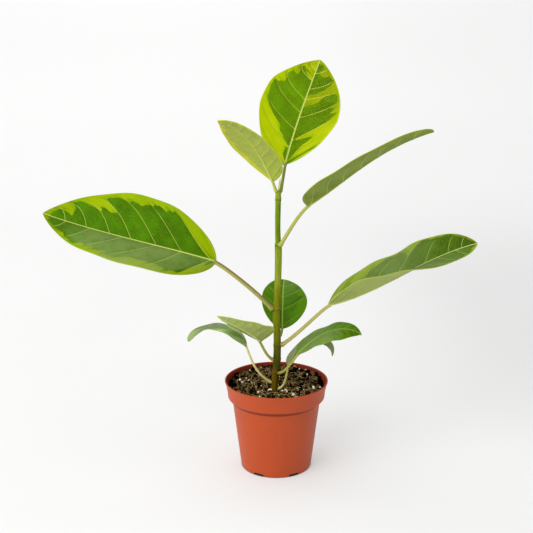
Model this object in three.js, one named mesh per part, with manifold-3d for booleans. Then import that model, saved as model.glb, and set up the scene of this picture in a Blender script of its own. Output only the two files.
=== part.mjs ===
// A young variegated fig in its round nursery pot.
// Millimetres, +Z up. The origin is the middle of the pot's flat underside, and -Y faces the viewer.

import * as THREE from "three";
import { mergeVertices } from "three/addons/utils/BufferGeometryUtils.js";
import Module from "manifold-3d";

const wasm = await Module();
wasm.setup();

// Clearance between pieces that touch on the real plant.
const GAP = 0.3;

// Pot: a tapered bowl with a flared collar and six drain notches round its foot.
const POT_HEIGHT = 92.5;
const POT_FOOT_RADIUS = 36.1;
const POT_SHOULDER_RADIUS = 44.6;
const POT_SHOULDER_HEIGHT = 70.3;
const POT_COLLAR_RADIUS = 49.4;
const POT_COLLAR_HEIGHT = 75.5;
const POT_RIM_RADIUS = 52.5;
const POT_WALL = 1.3;
const POT_SECTORS = 72;
const NOTCH_COUNT = 6;
const NOTCH_WIDTH = 11;
const NOTCH_HEIGHT = 2.5;
const NOTCH_DEPTH = 7;

// Soil: a lumpy fill that dips round the stem and heaps up a little at the back wall.
const SOIL_LEVEL = 84.3;
const SOIL_BACK_RISE = 2.2;
const SOIL_BACK_HEAP = 2.2;
const SOIL_DIP = 5;
const SOIL_DIP_RADIUS = 15;
const SOIL_LUMP = 0.8;
const SOIL_SECTORS = 48;
const SOIL_RINGS = 9;

// Stem: its wandering centre line, its radius at a few heights and the rings where leaves join.
const STEM_FOOT = 46;
const STEM_TOP = 288;
const STEM_PATH = [
  [-2, STEM_FOOT],
  [-2, 84],
  [0.3, 110],
  [0.9, 130],
  [0.4, 147],
  [-0.2, 160],
  [0.6, 176],
  [1.4, 200],
  [1.7, 228],
  [1.2, 244],
  [1.5, STEM_TOP],
];
const STEM_RADII = [
  [STEM_FOOT, 3.4],
  [84, 4],
  [112, 3.9],
  [132, 3.7],
  [176, 3.4],
  [204, 3.35],
  [229, 3.6],
  [237, 2.75],
  [252, 2.6],
  [268, 2.7],
  [STEM_TOP, 2.8],
];
const STEM_NODES = [100, 114, 129, 167, 233, 279];
const STEM_NODE_SWELL = 0.35;
const STEM_NODE_LENGTH = 2;
const STEM_SIDES = 14;
const STEM_STEP = 6;

// Bud at the tip of the stem.
const BUD_LENGTH = 12;
const BUD_RADIUS = 1.1;
const BUD_LEAN = 1.2;
const BUD_OFFSET = [0.8, -1];

// Blades: thickness of the sheet, and the rib under it at the base and at the tip.
const BLADE_THICKNESS = 0.8;
const BLADE_RIB = [2.2, 0.9];
const BLADE_TIP_HALF_WIDTH = 0.6;
const BLADE_COLUMNS = [-1, -0.68, -0.36, -0.06, 0, 0.06, 0.36, 0.68, 1];
const BLADE_LONG = 90;
const BLADE_ROWS = 20;
const BLADE_ROWS_SHORT = 14;
const PETIOLE_SIDES = 10;
const PETIOLE_FLARE = 0.45;
const PETIOLE_FLARE_LENGTH = 5;
const PETIOLE_STEP = 6;
const PETIOLE_REACH = 3;
const PETIOLE_SINK = 0.7;

// Leaves from the top down. Lengths are in millimetres and angles in degrees.
// base: where blade and petiole meet. heading, rise and roll: the way the midrib points, its
// climb and its twist, at the base, the middle and the tip. A heading of 0 is +X and 90 is +Y.
// widest: how far along the widest place lies. ends: bluntness of the base and of the tip.
// half, fold and curl: a half's width, its tilt out of the midrib and its bend to the margin.
// petiole: the height on the stem where it starts, its way there, its reach and its radii.
const LEAVES = [
  {
    name: "crown",
    base: [8, 2, 313.5],
    heading: [68, 62, 60],
    rise: [52, 50, 49],
    roll: [-3, -9, -6],
    length: 123,
    widest: 0.44,
    ends: [0.55, 0.8],
    left: { half: 44, fold: [28, 32, 18], curl: 20 },
    right: { half: 41, fold: [24, 8, 10], curl: -2 },
    wave: 0.8,
    petiole: { height: 285, heading: 43, rise: 66, pull: [9, 7], radius: [1.5, 1.4] },
  },
  {
    name: "top_left",
    base: [-3.5, -4, 297.5],
    heading: [-139, -138, -146],
    rise: [63, 46, 17],
    roll: [-7, -3, -10],
    length: 95,
    widest: 0.47,
    ends: [0.75, 0.75],
    left: { half: 31, fold: [12, -2, 14], curl: -8 },
    right: { half: 32, fold: [14, 2, 12], curl: -8 },
    wave: 0.3,
    petiole: { height: 286, heading: 212, rise: 69, pull: [5, 4], radius: [1.4, 1.3] },
  },
  {
    name: "upper_right",
    base: [29.5, -15, 276.5],
    heading: [-27, -28, -1],
    rise: [34, 36, 16],
    roll: [-2, -9, 1],
    length: 145,
    widest: 0.42,
    ends: [0.6, 0.5],
    left: { half: 33, fold: [8, 2, -6], curl: 0 },
    right: { half: 36, fold: [28, 18, 30], curl: 2 },
    wave: 0.35,
    petiole: { height: 233, heading: -63, rise: 41, pull: [18, 12], radius: [2, 1.5] },
  },
  {
    name: "large_left",
    base: [-59.5, -5, 218],
    heading: [188, 170, 178],
    rise: [19, 12, 20],
    roll: [41, 25, 39],
    length: 179,
    widest: 0.47,
    ends: [0.65, 0.8],
    left: { half: 42, fold: [0, 18, 2], curl: -22 },
    right: { half: 49, fold: [18, 24, 22], curl: 6 },
    wave: 0.7,
    petiole: { height: 166, heading: 191, rise: 52, pull: [22, 6], radius: [2.3, 2.1] },
  },
  {
    name: "large_right",
    base: [51.5, -7, 174.5],
    heading: [-11, -8, 5],
    rise: [16, 30, 13],
    roll: [-6, 0, -23],
    length: 158,
    widest: 0.5,
    ends: [0.75, 0.75],
    left: { half: 40, fold: [62, 18, 32], curl: 6 },
    right: { half: 40, fold: [52, 20, -2], curl: 0 },
    wave: 1,
    petiole: { height: 129, heading: -19, rise: 36, pull: [25, 5], radius: [1.9, 1.6] },
  },
  {
    name: "round_back",
    base: [6, 8, 144],
    heading: [87, 87, 83],
    rise: [68, 57, 24],
    roll: [-4, -5, -3],
    length: 55,
    widest: 0.52,
    ends: [0.55, 0.6],
    left: { half: 22, fold: [12, 10, 8], curl: 4 },
    right: { half: 25, fold: [8, 4, 6], curl: -10 },
    wave: 0.4,
    petiole: { height: 137, heading: 51, rise: 39, pull: [4, 3], radius: [1.4, 1.3] },
  },
  {
    name: "low_left",
    base: [-16.5, -8, 136.5],
    heading: [-120, -133, -144],
    rise: [42, 32, 34],
    roll: [-12, -9, -10],
    length: 72,
    widest: 0.43,
    ends: [0.55, 0.85],
    left: { half: 28, fold: [22, 10, 14], curl: 2 },
    right: { half: 21, fold: [22, 10, 10], curl: 0 },
    wave: 0.5,
    petiole: { height: 114, heading: -143, rise: 26, pull: [12, 7], radius: [1.4, 1.3] },
  },
  {
    name: "low_right",
    base: [21, -9, 123],
    heading: [13, -2, -2],
    rise: [44, 24, -38],
    roll: [-9, -3, -21],
    length: 74,
    widest: 0.49,
    ends: [0.6, 0.9],
    left: { half: 21, fold: [24, -2, 16], curl: -4 },
    right: { half: 22, fold: [22, 2, 0], curl: -16 },
    wave: 0.5,
    petiole: { height: 100, heading: -53, rise: 17, pull: [15, 8], radius: [1.4, 1.2] },
  },
  {
    name: "drooping_left",
    base: [-29.5, -10, 131.5],
    heading: [189, 171, 210],
    rise: [71, 3, -54],
    roll: [11, -6, 2],
    length: 74,
    widest: 0.44,
    ends: [0.75, 0.6],
    left: { half: 18, fold: [0, 6, 16], curl: -14 },
    right: { half: 17, fold: [10, 2, 18], curl: -10 },
    wave: 0.4,
    petiole: { height: 89, heading: -158, rise: 33, pull: [22, 16], radius: [1.2, 1.1] },
  },
  {
    name: "drooping_right",
    base: [11.5, 10, 104.5],
    heading: [36, -1, -6],
    rise: [53, 20, -96],
    roll: [11, 7, -11],
    length: 66,
    widest: 0.46,
    ends: [0.65, 0.85],
    left: { half: 16, fold: [12, 8, 24], curl: 0 },
    right: { half: 13, fold: [18, 12, 14], curl: 2 },
    wave: 0.3,
    petiole: { height: 82, heading: 0, rise: 6, pull: [11, 4], radius: [1, 1] },
  },
];

const OLIVE_BARK = { color: 0x7a7418, roughness: 0.6, metalness: 0 };
const GREEN_LEAF = { color: 0x5a8a14, roughness: 0.45, metalness: 0 };
const PALE_STALK = { color: 0xbcb85c, roughness: 0.5, metalness: 0 };
const TERRACOTTA = { color: 0xc6582f, roughness: 0.5, metalness: 0 };
const PEAT = { color: 0x3a2c1a, roughness: 0.95, metalness: 0 };

const radians = THREE.MathUtils.degToRad;
const lerp = THREE.MathUtils.lerp;

// Value at a height or distance in a list of [place, value] pairs, straight between them.
function between(pairs, place) {
  let last = pairs[0];
  for (const pair of pairs) {
    if (pair[0] >= place) {
      const span = Math.max(pair[0] - last[0], 1e-9);
      return lerp(last[1], pair[1], THREE.MathUtils.clamp((place - last[0]) / span, 0, 1));
    }
    last = pair;
  }
  return last[1];
}

// Smooth run through a value at the base, the middle and the tip.
function along([base, middle, tip], s) {
  return base * (1 - s) * (1 - 2 * s) + 4 * middle * s * (1 - s) + tip * s * (2 * s - 1);
}

// Unit vector that points at a heading and climbs by a rise, both in degrees.
function direction(heading, rise) {
  const h = radians(heading);
  const r = radians(rise);
  return new THREE.Vector3(Math.cos(h) * Math.cos(r), Math.sin(h) * Math.cos(r), Math.sin(r));
}

function geometryOf(points, faces) {
  const geometry = new THREE.BufferGeometry();
  geometry.setAttribute("position", new THREE.Float32BufferAttribute(points.flatMap((p) => p.toArray()), 3));
  geometry.setIndex(faces);
  return geometry;
}

// Closed skin over a stack of rings with equal counts, turning left when seen from above,
// with a point in the middle of the first and the last ring.
function skinOfRings(rings) {
  const count = rings[0].length;
  const points = rings.flat();
  const faces = [];
  for (let i = 0; i + 1 < rings.length; i += 1) {
    for (let j = 0; j < count; j += 1) {
      const a = i * count + j;
      const b = i * count + ((j + 1) % count);
      faces.push(a, b, b + count, a, b + count, a + count);
    }
  }
  const middle = (ring) => ring.reduce((sum, p) => sum.add(p), new THREE.Vector3()).divideScalar(count);
  const first = points.push(middle(rings[0])) - 1;
  const last = points.push(middle(rings[rings.length - 1])) - 1;
  const top = (rings.length - 1) * count;
  for (let j = 0; j < count; j += 1) {
    const next = (j + 1) % count;
    faces.push(first, next, j);
    faces.push(last, top + j, top + next);
  }
  return geometryOf(points, faces);
}

// Ring of points round a centre, square to an axis.
function ringAround(centre, axis, radius, sides) {
  const start = Math.abs(axis.z) > 0.9 ? new THREE.Vector3(1, 0, 0) : new THREE.Vector3(0, 0, 1);
  const across = start.clone().addScaledVector(axis, -start.dot(axis)).normalize();
  const other = axis.clone().cross(across);
  return Array.from({ length: sides }, (_, j) => {
    const turn = (2 * Math.PI * j) / sides;
    return centre
      .clone()
      .addScaledVector(across, radius * Math.cos(turn))
      .addScaledVector(other, radius * Math.sin(turn));
  });
}

// Level ring about a point on the ground plan.
function levelRing(x, radius, height, sides) {
  return Array.from({ length: sides }, (_, j) => {
    const turn = (2 * Math.PI * j) / sides;
    return new THREE.Vector3(x + radius * Math.cos(turn), radius * Math.sin(turn), height);
  });
}

function solidOf(geometry) {
  const bare = geometry.clone();
  bare.deleteAttribute("normal");
  bare.deleteAttribute("uv");
  const welded = mergeVertices(bare, 1e-4);
  const vertProperties = new Float32Array(welded.attributes.position.array);
  const triVerts = new Uint32Array(welded.index.array);
  return new wasm.Manifold(new wasm.Mesh({ numProp: 3, vertProperties, triVerts }));
}

function geometryOfSolid(solid) {
  const { vertProperties, triVerts } = solid.getMesh();
  const geometry = new THREE.BufferGeometry();
  geometry.setAttribute("position", new THREE.BufferAttribute(new Float32Array(vertProperties), 3));
  geometry.setIndex(new THREE.BufferAttribute(new Uint32Array(triVerts), 1));
  return geometry;
}

const plant = new THREE.Group();

function addPiece(name, geometry, look) {
  const mesh = new THREE.Mesh(geometry, new THREE.MeshStandardMaterial(look));
  mesh.name = name;
  geometry.computeVertexNormals();
  plant.add(mesh);
  return mesh;
}

// Pot: half sections of the outside and the inside as [radius, height].
const potOutside = [
  [POT_FOOT_RADIUS - 1, 0],
  [POT_FOOT_RADIUS, 1],
  [POT_SHOULDER_RADIUS, POT_SHOULDER_HEIGHT],
  [POT_COLLAR_RADIUS, POT_COLLAR_HEIGHT],
  [POT_COLLAR_RADIUS + 0.3, POT_COLLAR_HEIGHT + 4.5],
  [POT_COLLAR_RADIUS + 0.8, POT_COLLAR_HEIGHT + 7.5],
  [POT_RIM_RADIUS - 1.2, POT_HEIGHT - 4.5],
  [POT_RIM_RADIUS, POT_HEIGHT - 0.6],
  [POT_RIM_RADIUS - 0.3, POT_HEIGHT],
];
const potInside = [
  [POT_RIM_RADIUS - POT_WALL, POT_HEIGHT],
  [POT_RIM_RADIUS - POT_WALL - 0.3, POT_HEIGHT - 0.6],
  [POT_RIM_RADIUS - 1.2 - POT_WALL, POT_HEIGHT - 4.5],
  [POT_COLLAR_RADIUS + 0.8 - POT_WALL, POT_COLLAR_HEIGHT + 7.5],
  [POT_COLLAR_RADIUS + 0.3 - POT_WALL, POT_COLLAR_HEIGHT + 4.5],
  [POT_COLLAR_RADIUS - POT_WALL, POT_COLLAR_HEIGHT + 0.5],
  [POT_SHOULDER_RADIUS - POT_WALL, POT_SHOULDER_HEIGHT + 0.5],
  [POT_FOOT_RADIUS - POT_WALL + 0.1, POT_WALL + 0.6],
  [POT_FOOT_RADIUS - POT_WALL - 0.4, POT_WALL],
];

function potShell() {
  const section = [[0, 0], ...potOutside, ...potInside, [0, POT_WALL]];
  const profile = section.map(([radius, height]) => new THREE.Vector2(radius, height));
  const shell = new THREE.LatheGeometry(profile, POT_SECTORS).rotateX(Math.PI / 2);
  let solid = solidOf(shell);
  for (let k = 0; k < NOTCH_COUNT; k += 1) {
    const notch = new THREE.BoxGeometry(NOTCH_DEPTH, NOTCH_WIDTH, 2 * NOTCH_HEIGHT);
    notch.translate(POT_FOOT_RADIUS + 1 - NOTCH_DEPTH / 2, 0, 0);
    notch.rotateZ(((k + 0.5) * 2 * Math.PI) / NOTCH_COUNT - Math.PI / 2);
    solid = solid.subtract(solidOf(notch));
  }
  return geometryOfSolid(solid);
}

const insideRadius = (height) => between(potInside.map(([r, z]) => [z, r]).reverse(), height);

// Soil: height of the surface over the ground plan.
const stemFootX = STEM_PATH[0][0];

function soilHeight(x, y) {
  const fromStem = Math.hypot(x - stemFootX, y);
  const dip = SOIL_DIP * Math.exp(-((fromStem / SOIL_DIP_RADIUS) ** 2));
  const broad = Math.sin(x / 5.1 + 1.3) * Math.cos(y / 4.3);
  const small = 0.6 * Math.sin((x + y) / 3.1) + 0.45 * Math.cos((x - 1.7 * y) / 2.6);
  const back = y / POT_COLLAR_RADIUS;
  const slope = SOIL_BACK_RISE * back + SOIL_BACK_HEAP * Math.max(0, back) ** 2;
  return SOIL_LEVEL + slope - dip + SOIL_LUMP * (broad + small);
}

function soilBody() {
  const hole = stemRadius(SOIL_LEVEL) + GAP;
  const buried = potInside.filter(([, height]) => height < SOIL_LEVEL - SOIL_BACK_RISE - SOIL_LUMP).reverse();
  const rings = buried.map(([radius, height]) => levelRing(0, radius - GAP, height + GAP, SOIL_SECTORS));
  for (let i = SOIL_RINGS; i >= 0; i -= 1) {
    const out = i / SOIL_RINGS;
    const ring = levelRing(0, 1, 0, SOIL_SECTORS);
    ring.forEach((p) => {
      const level = insideRadius(SOIL_LEVEL);
      const brim = insideRadius(soilHeight(p.x * level, p.y * level)) - GAP;
      p.multiplyScalar(lerp(hole, brim, out));
      p.x += stemFootX * (1 - out);
      p.z = soilHeight(p.x, p.y);
    });
    rings.push(ring);
  }
  rings.push(levelRing(stemFootX, hole, STEM_FOOT - GAP, SOIL_SECTORS));
  return skinOfRings(rings);
}

// Stem.
const stemLine = new THREE.CatmullRomCurve3(STEM_PATH.map(([x, z]) => new THREE.Vector3(x, 0, z)));

// Centre of the stem at a height, found by halving.
function stemCentre(height) {
  let low = 0;
  let high = 1;
  for (let i = 0; i < 40; i += 1) {
    const half = (low + high) / 2;
    if (stemLine.getPoint(half).z < height) {
      low = half;
    } else {
      high = half;
    }
  }
  return stemLine.getPoint(low);
}

function stemRadius(height) {
  const swell = STEM_NODES.reduce((sum, node) => sum + Math.exp(-(((height - node) / STEM_NODE_LENGTH) ** 2)), 0);
  return between(STEM_RADII, height) + STEM_NODE_SWELL * swell;
}

function stemHeights() {
  const heights = [];
  for (let z = STEM_FOOT; z < STEM_TOP - STEM_STEP / 2; z += STEM_STEP) {
    if (STEM_NODES.every((node) => Math.abs(z - node) > STEM_STEP * 0.6)) {
      heights.push(z);
    }
  }
  for (const node of STEM_NODES) {
    heights.push(node - STEM_NODE_LENGTH, node, node + STEM_NODE_LENGTH);
  }
  return heights.sort((a, b) => a - b);
}

function stemBody(extra) {
  const rings = stemHeights().map((z) => {
    const centre = stemCentre(z);
    return levelRing(centre.x, stemRadius(z) + extra, z, STEM_SIDES);
  });
  const top = stemCentre(STEM_TOP).x;
  rings.push(levelRing(top, stemRadius(STEM_TOP) + extra, STEM_TOP - 0.8 + extra, STEM_SIDES));
  rings.push(levelRing(top, stemRadius(STEM_TOP) * 0.7 + extra, STEM_TOP + extra, STEM_SIDES));
  return skinOfRings(rings);
}

// Half-width of a blade as a share of its full half-width, from 0 at the base to 0 at the tip.
function bladeOutline(leaf, s) {
  const skew = Math.log(0.5) / Math.log(leaf.widest);
  const power = lerp(leaf.ends[0], leaf.ends[1], s);
  return Math.max(Math.sin(Math.PI * s ** skew), 0) ** power;
}

// Frames along the midrib: a point, the way across to the right, and the way up out of the face.
function midribFrames(leaf, places) {
  const fine = 200;
  const point = new THREE.Vector3(...leaf.base);
  const frames = [];
  let done = 0;
  for (const place of places) {
    const steps = Math.max(1, Math.ceil((place - done) * fine));
    for (let k = 0; k < steps; k += 1) {
      const s = done + ((place - done) * (k + 0.5)) / steps;
      const way = direction(along(leaf.heading, s), along(leaf.rise, s));
      point.addScaledVector(way, ((place - done) / steps) * leaf.length);
    }
    done = place;
    const heading = along(leaf.heading, place);
    const way = direction(heading, along(leaf.rise, place));
    const side = direction(heading - 90, 0);
    const up = side.clone().cross(way);
    const roll = radians(along(leaf.roll, place));
    frames.push({
      point: point.clone(),
      across: side.clone().multiplyScalar(Math.cos(roll)).addScaledVector(up, Math.sin(roll)),
      out: up.clone().multiplyScalar(Math.cos(roll)).addScaledVector(side, -Math.sin(roll)),
    });
  }
  return frames;
}

// Point of the upper face: v runs from -1 at the left margin over the midrib to 1 at the right.
function bladePoint(leaf, frame, s, v) {
  const half = v < 0 ? leaf.left : leaf.right;
  const least = lerp(leaf.petiole.radius[1], BLADE_TIP_HALF_WIDTH, s);
  const reach = Math.abs(v);
  const width = Math.max(half.half * bladeOutline(leaf, s), least);
  const fold = radians(along(half.fold, s));
  const curl = radians(half.curl) || 1e-4;
  const outward = (width / curl) * (Math.sin(fold + curl * reach) - Math.sin(fold));
  const upward = (width / curl) * (Math.cos(fold) - Math.cos(fold + curl * reach));
  const ripple = Math.sin(2 * Math.PI * (3.5 * s + (v < 0 ? 0 : 0.25)));
  const wave = leaf.wave * reach ** 2 * bladeOutline(leaf, s) * ripple;
  return frame.point
    .clone()
    .addScaledVector(frame.across, Math.sign(v) * outward)
    .addScaledVector(frame.out, upward + wave);
}

// Blade: the upper face, the same face one thickness below with a rib down its middle, and edges.
function bladeSolid(leaf) {
  const rows = leaf.length > BLADE_LONG ? BLADE_ROWS : BLADE_ROWS_SHORT;
  const places = Array.from({ length: rows + 1 }, (_, i) => {
    const even = i / rows;
    return lerp(even, (1 - Math.cos(Math.PI * even)) / 2, 0.7);
  });
  const frames = midribFrames(leaf, places);
  const count = BLADE_COLUMNS.length;
  const upper = places.map((s, i) => BLADE_COLUMNS.map((v) => bladePoint(leaf, frames[i], s, v)));
  const lower = upper.map((row, i) =>
    row.map((p, j) => {
      const before = upper[Math.max(i - 1, 0)][j];
      const after = upper[Math.min(i + 1, rows)][j];
      const leftward = row[Math.max(j - 1, 0)];
      const rightward = row[Math.min(j + 1, count - 1)];
      const normal = rightward.clone().sub(leftward).cross(after.clone().sub(before)).normalize();
      const depth = BLADE_COLUMNS[j] === 0 ? lerp(...BLADE_RIB, places[i]) : BLADE_THICKNESS;
      return p.clone().addScaledVector(normal, -depth);
    }),
  );
  const points = [...upper.flat(), ...lower.flat()];
  const below = upper.length * count;
  const faces = [];
  for (let i = 0; i < rows; i += 1) {
    for (let j = 0; j + 1 < count; j += 1) {
      const a = i * count + j;
      const c = a + count;
      faces.push(a, a + 1, c + 1, a, c + 1, c);
      faces.push(below + a, below + c + 1, below + a + 1, below + a, below + c, below + c + 1);
    }
    const left = i * count;
    const right = left + count - 1;
    faces.push(left, left + count, below + left + count, left, below + left + count, below + left);
    faces.push(right, below + right, below + right + count, right, below + right + count, right + count);
  }
  const tip = rows * count;
  for (let j = 0; j + 1 < count; j += 1) {
    faces.push(j, below + j, below + j + 1, j, below + j + 1, j + 1);
    faces.push(tip + j, tip + j + 1, below + tip + j + 1, tip + j, below + tip + j + 1, below + tip + j);
  }
  return solidOf(geometryOf(points, faces));
}

// Petiole: a tapered tube along a curve from inside the stem to just inside the blade's rib.
function petioleSolid(leaf) {
  const { height, heading, rise, pull, radius } = leaf.petiole;
  const [join] = midribFrames(leaf, [0]);
  const leave = direction(heading, rise);
  const arrive = direction(leaf.heading[0], leaf.rise[0]);
  const seat = stemCentre(height).addScaledVector(direction(heading, 0), stemRadius(height) * 0.8);
  const end = join.point.addScaledVector(join.out, -PETIOLE_SINK * radius[1]).addScaledVector(arrive, PETIOLE_REACH);
  const curve = new THREE.CubicBezierCurve3(
    seat,
    seat.clone().addScaledVector(leave, pull[0]),
    end.clone().addScaledVector(arrive, -pull[1] - PETIOLE_REACH),
    end,
  );
  const length = curve.getLength();
  const steps = Math.max(5, Math.round(length / PETIOLE_STEP));
  const rings = [];
  for (let i = 0; i <= steps; i += 1) {
    const s = i / steps;
    const flare = PETIOLE_FLARE * Math.exp(-(((s * length) / PETIOLE_FLARE_LENGTH) ** 2));
    const thickness = lerp(radius[0], radius[1], s) * (1 + flare);
    rings.push(ringAround(curve.getPointAt(s), curve.getTangentAt(s), thickness, PETIOLE_SIDES));
  }
  return solidOf(skinOfRings(rings));
}

// Leaf: blade and petiole grown together, trimmed clear of the stem.
function leafBody(leaf) {
  return geometryOfSolid(bladeSolid(leaf).add(petioleSolid(leaf)).subtract(stemClearance));
}

// Bud: a slender pointed sheath that stands on the stem's tip.
function budBody() {
  const base = stemCentre(STEM_TOP).setZ(STEM_TOP + GAP).add(new THREE.Vector3(...BUD_OFFSET, 0));
  const outline = [
    [0, 0.9],
    [0.25, 1],
    [0.55, 0.75],
    [0.85, 0.4],
    [1, 0.12],
  ];
  const rings = outline.map(([s, share]) => {
    const centre = base.clone().add(new THREE.Vector3(BUD_LEAN * s ** 2, -0.4 * s, BUD_LENGTH * s));
    return ringAround(centre, new THREE.Vector3(0, 0, 1), BUD_RADIUS * share, 8);
  });
  return skinOfRings(rings);
}

const stemClearance = solidOf(stemBody(GAP));

addPiece("pot", potShell(), TERRACOTTA);
addPiece("soil", soilBody(), PEAT);
addPiece("stem", stemBody(0), OLIVE_BARK);
addPiece("terminal_bud", budBody(), PALE_STALK);
for (const leaf of LEAVES) {
  addPiece(`leaf_${leaf.name}`, leafBody(leaf), GREEN_LEAF);
}

export default plant;
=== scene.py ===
"""Finished look of a potted variegated fig: pot, potting mix, stem, sheath and ten leaves.

The frame holds the plant in metres, standing on z = 0 with its widest spread along x.
Shapes are worked out in millimetres and put into their meshes in metres.
"""

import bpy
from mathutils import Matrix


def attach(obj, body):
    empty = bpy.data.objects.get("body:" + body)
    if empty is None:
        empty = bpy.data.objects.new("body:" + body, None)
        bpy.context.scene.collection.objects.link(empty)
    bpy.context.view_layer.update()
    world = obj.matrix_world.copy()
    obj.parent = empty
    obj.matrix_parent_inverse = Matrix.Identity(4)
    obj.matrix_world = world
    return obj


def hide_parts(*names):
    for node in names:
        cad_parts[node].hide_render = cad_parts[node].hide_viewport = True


bl_info = {
    "name": "Potted variegated fig",
    "version": (1, 0, 0),
    "blender": (4, 5, 0),
    "location": "3D View > Sidebar > Fig",
    "description": "Builds the finished pot, mix, stem and leaves of a young variegated fig",
    "category": "Add Mesh",
}

import math

import bpy
import numpy as np
from bpy.props import FloatProperty, FloatVectorProperty, IntProperty, PointerProperty

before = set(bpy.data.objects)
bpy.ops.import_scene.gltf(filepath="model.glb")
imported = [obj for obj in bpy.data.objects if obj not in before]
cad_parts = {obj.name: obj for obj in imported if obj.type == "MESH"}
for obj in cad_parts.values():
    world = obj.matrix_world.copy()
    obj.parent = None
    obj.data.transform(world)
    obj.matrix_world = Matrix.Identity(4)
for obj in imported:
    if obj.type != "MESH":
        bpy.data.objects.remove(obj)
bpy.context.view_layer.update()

MM = 0.001
BODY = "root"

# Pot: half sections of the outside and the inside as radius and height.
POT_OUTSIDE = [
    (32.6, 2.7), (33.2, 2.2), (33.3, 0.4), (33.8, 0), (35, 0), (35.7, 0.3), (36.1, 1),
    (38.6, 21.4), (41.1, 41.7), (43.1, 58), (44.45, 69.2), (44.7, 70.2), (45.2, 70.8),
    (48.7, 74.6), (49.25, 75.3), (49.45, 76.2), (49.7, 80), (50.2, 83), (51.3, 88), (52, 90.6),
    (52.3, 91.1), (52.5, 91.7), (52.4, 92.3), (52, 92.5),
]
POT_INSIDE = [
    (51.5, 92.5), (51.1, 92.2), (50.9, 91.6), (50, 88), (48.9, 83), (48.4, 80), (48.1, 76),
    (47.6, 75.2), (43.7, 71.2), (43.3, 70.4), (39.2, 37), (34.9, 3.9), (30, 3.9),
]
POT_UNDERSIDE = 2.7
POT_FLOOR = 3.9
POT_STEP = 2.5
FOOT_RADIUS = 36.1
NOTCHES = 6
NOTCH_WIDTH = 11.0
NOTCH_HEIGHT = 2.5
NOTCH_INNER_RADIUS = 30.1
NOTCH_SLOPE = 0.7

# Mix in the pot.
SOIL_LEVEL = 84.3
SOIL_BACK_RISE = 2.2
SOIL_BACK_HEAP = 2.2
SOIL_DIP = 5.0
SOIL_DIP_RADIUS = 15.0
SOIL_LUMP = 0.8
SOIL_HEAP = 2.6
SOIL_HEAP_PLACE = (40, 27)
SOIL_HEAP_RADIUS = 14.0
SOIL_GAP = 0.3
COLLAR_RADIUS = 49.4
LOOSE_REACH = 46.5
CRUMB_REACH = 46.2

# Large white grains on the mix: x, y and size.
PERLITE_GRAINS = [
    (-27.5, 36.4, 1.1), (-16, 42.6, 0.6), (-17.3, 28.1, 0.7), (-37.3, 11.2, 1.6), (-35, 7.7, 1.3),
    (-33.3, 12.9, 1.2), (-31, 16.4, 1), (-28.5, 16.3, 0.9), (-18.3, -16.4, 1.3), (-6.2, -6.3, 1.8),
    (6.2, -7.1, 1.3), (9.8, -8.3, 1.6), (10.7, -13.4, 1.1), (17.3, -20.6, 1.4), (38, -6.2, 1.4),
    (44.8, -3, 0.9), (44.9, 0.3, 0.8), (32.5, 23.7, 1.1), (31.2, 33, 1.1), (24.7, 38, 1),
    (3.1, 21.2, 0.8), (21.4, -7.3, 0.7), (-31.5, -6.3, 0.7),
]

# Place and size of the curled rootlet behind the stem.
ROOTLET_PLACE = (-8.5, 33)
ROOTLET_RADIUS = 2.4
ROOTLET_THICKNESS = 0.24

# Stem: x of its middle line by height, radius by height, and the heights of its rings.
STEM_LINE = [
    (-2, 46), (-2, 84), (0.3, 110), (0.9, 130), (0.4, 147), (-0.2, 160), (0.6, 176), (1.4, 200),
    (1.7, 228), (1.2, 244), (1.5, 288),
]
STEM_RADII = [
    (46, 3.4), (84, 3.45), (100, 3.7), (112, 3.9), (132, 3.7), (176, 3.4), (204, 3.35), (229, 3.6),
    (237, 2.75), (252, 2.6), (268, 2.7), (288, 2.8),
]
STEM_NODES = [100, 114, 129, 167, 233, 279]
STEM_FOOT = 46
STEM_TOP = 288
STEM_ROWS = 560
CAP_LENGTH = 2.4
NODE_SWELL = 0.35
NODE_LENGTH = 2.0
NODE_LIP = 0.16
NODE_GROOVE = 0.2

# Sheath at the tip.
BUD_LENGTH = 12.0
BUD_RADIUS = 1.1
BUD_LEAN = 1.2
BUD_OFFSET = (0.8, -1)
BUD_ROWS = 60
BUD_SIDES = 28

# Blades and their stalks.
BLADE_THICKNESS = 0.8
MARGIN_THICKNESS = 0.42
RIB_DEPTH = (2.2, 0.9)
CORD_DEPTH = 0.3
RIDGE_HEIGHT = 0.3
RIDGE_GROOVE = 0.35
TIP_HALF_WIDTH = 0.6
PETIOLE_SIDES = 24
PETIOLE_STEP = 0.8
PETIOLE_FLARE = 0.45
PETIOLE_FLARE_LENGTH = 5.0
PETIOLE_REACH = 3.0
PETIOLE_SINK = 0.7

# Stage: the sweep in millimetres, the camera in metres and degrees. Its focal length is in pixels
# of a picture that is PICTURE_SIZE of them wide.
SWEEP_FRONT = -3200
SWEEP_BEND = 1400
SWEEP_RADIUS = 900
SWEEP_TOP = 3600
SWEEP_SIDE = 4200
CAMERA_PLACE = (-0.010, -1.000, 0.4785)
CAMERA_PITCH = 75.05
FOCAL_LENGTH = 1045
PICTURE_SIZE = 533
SENSOR = 36

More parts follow.
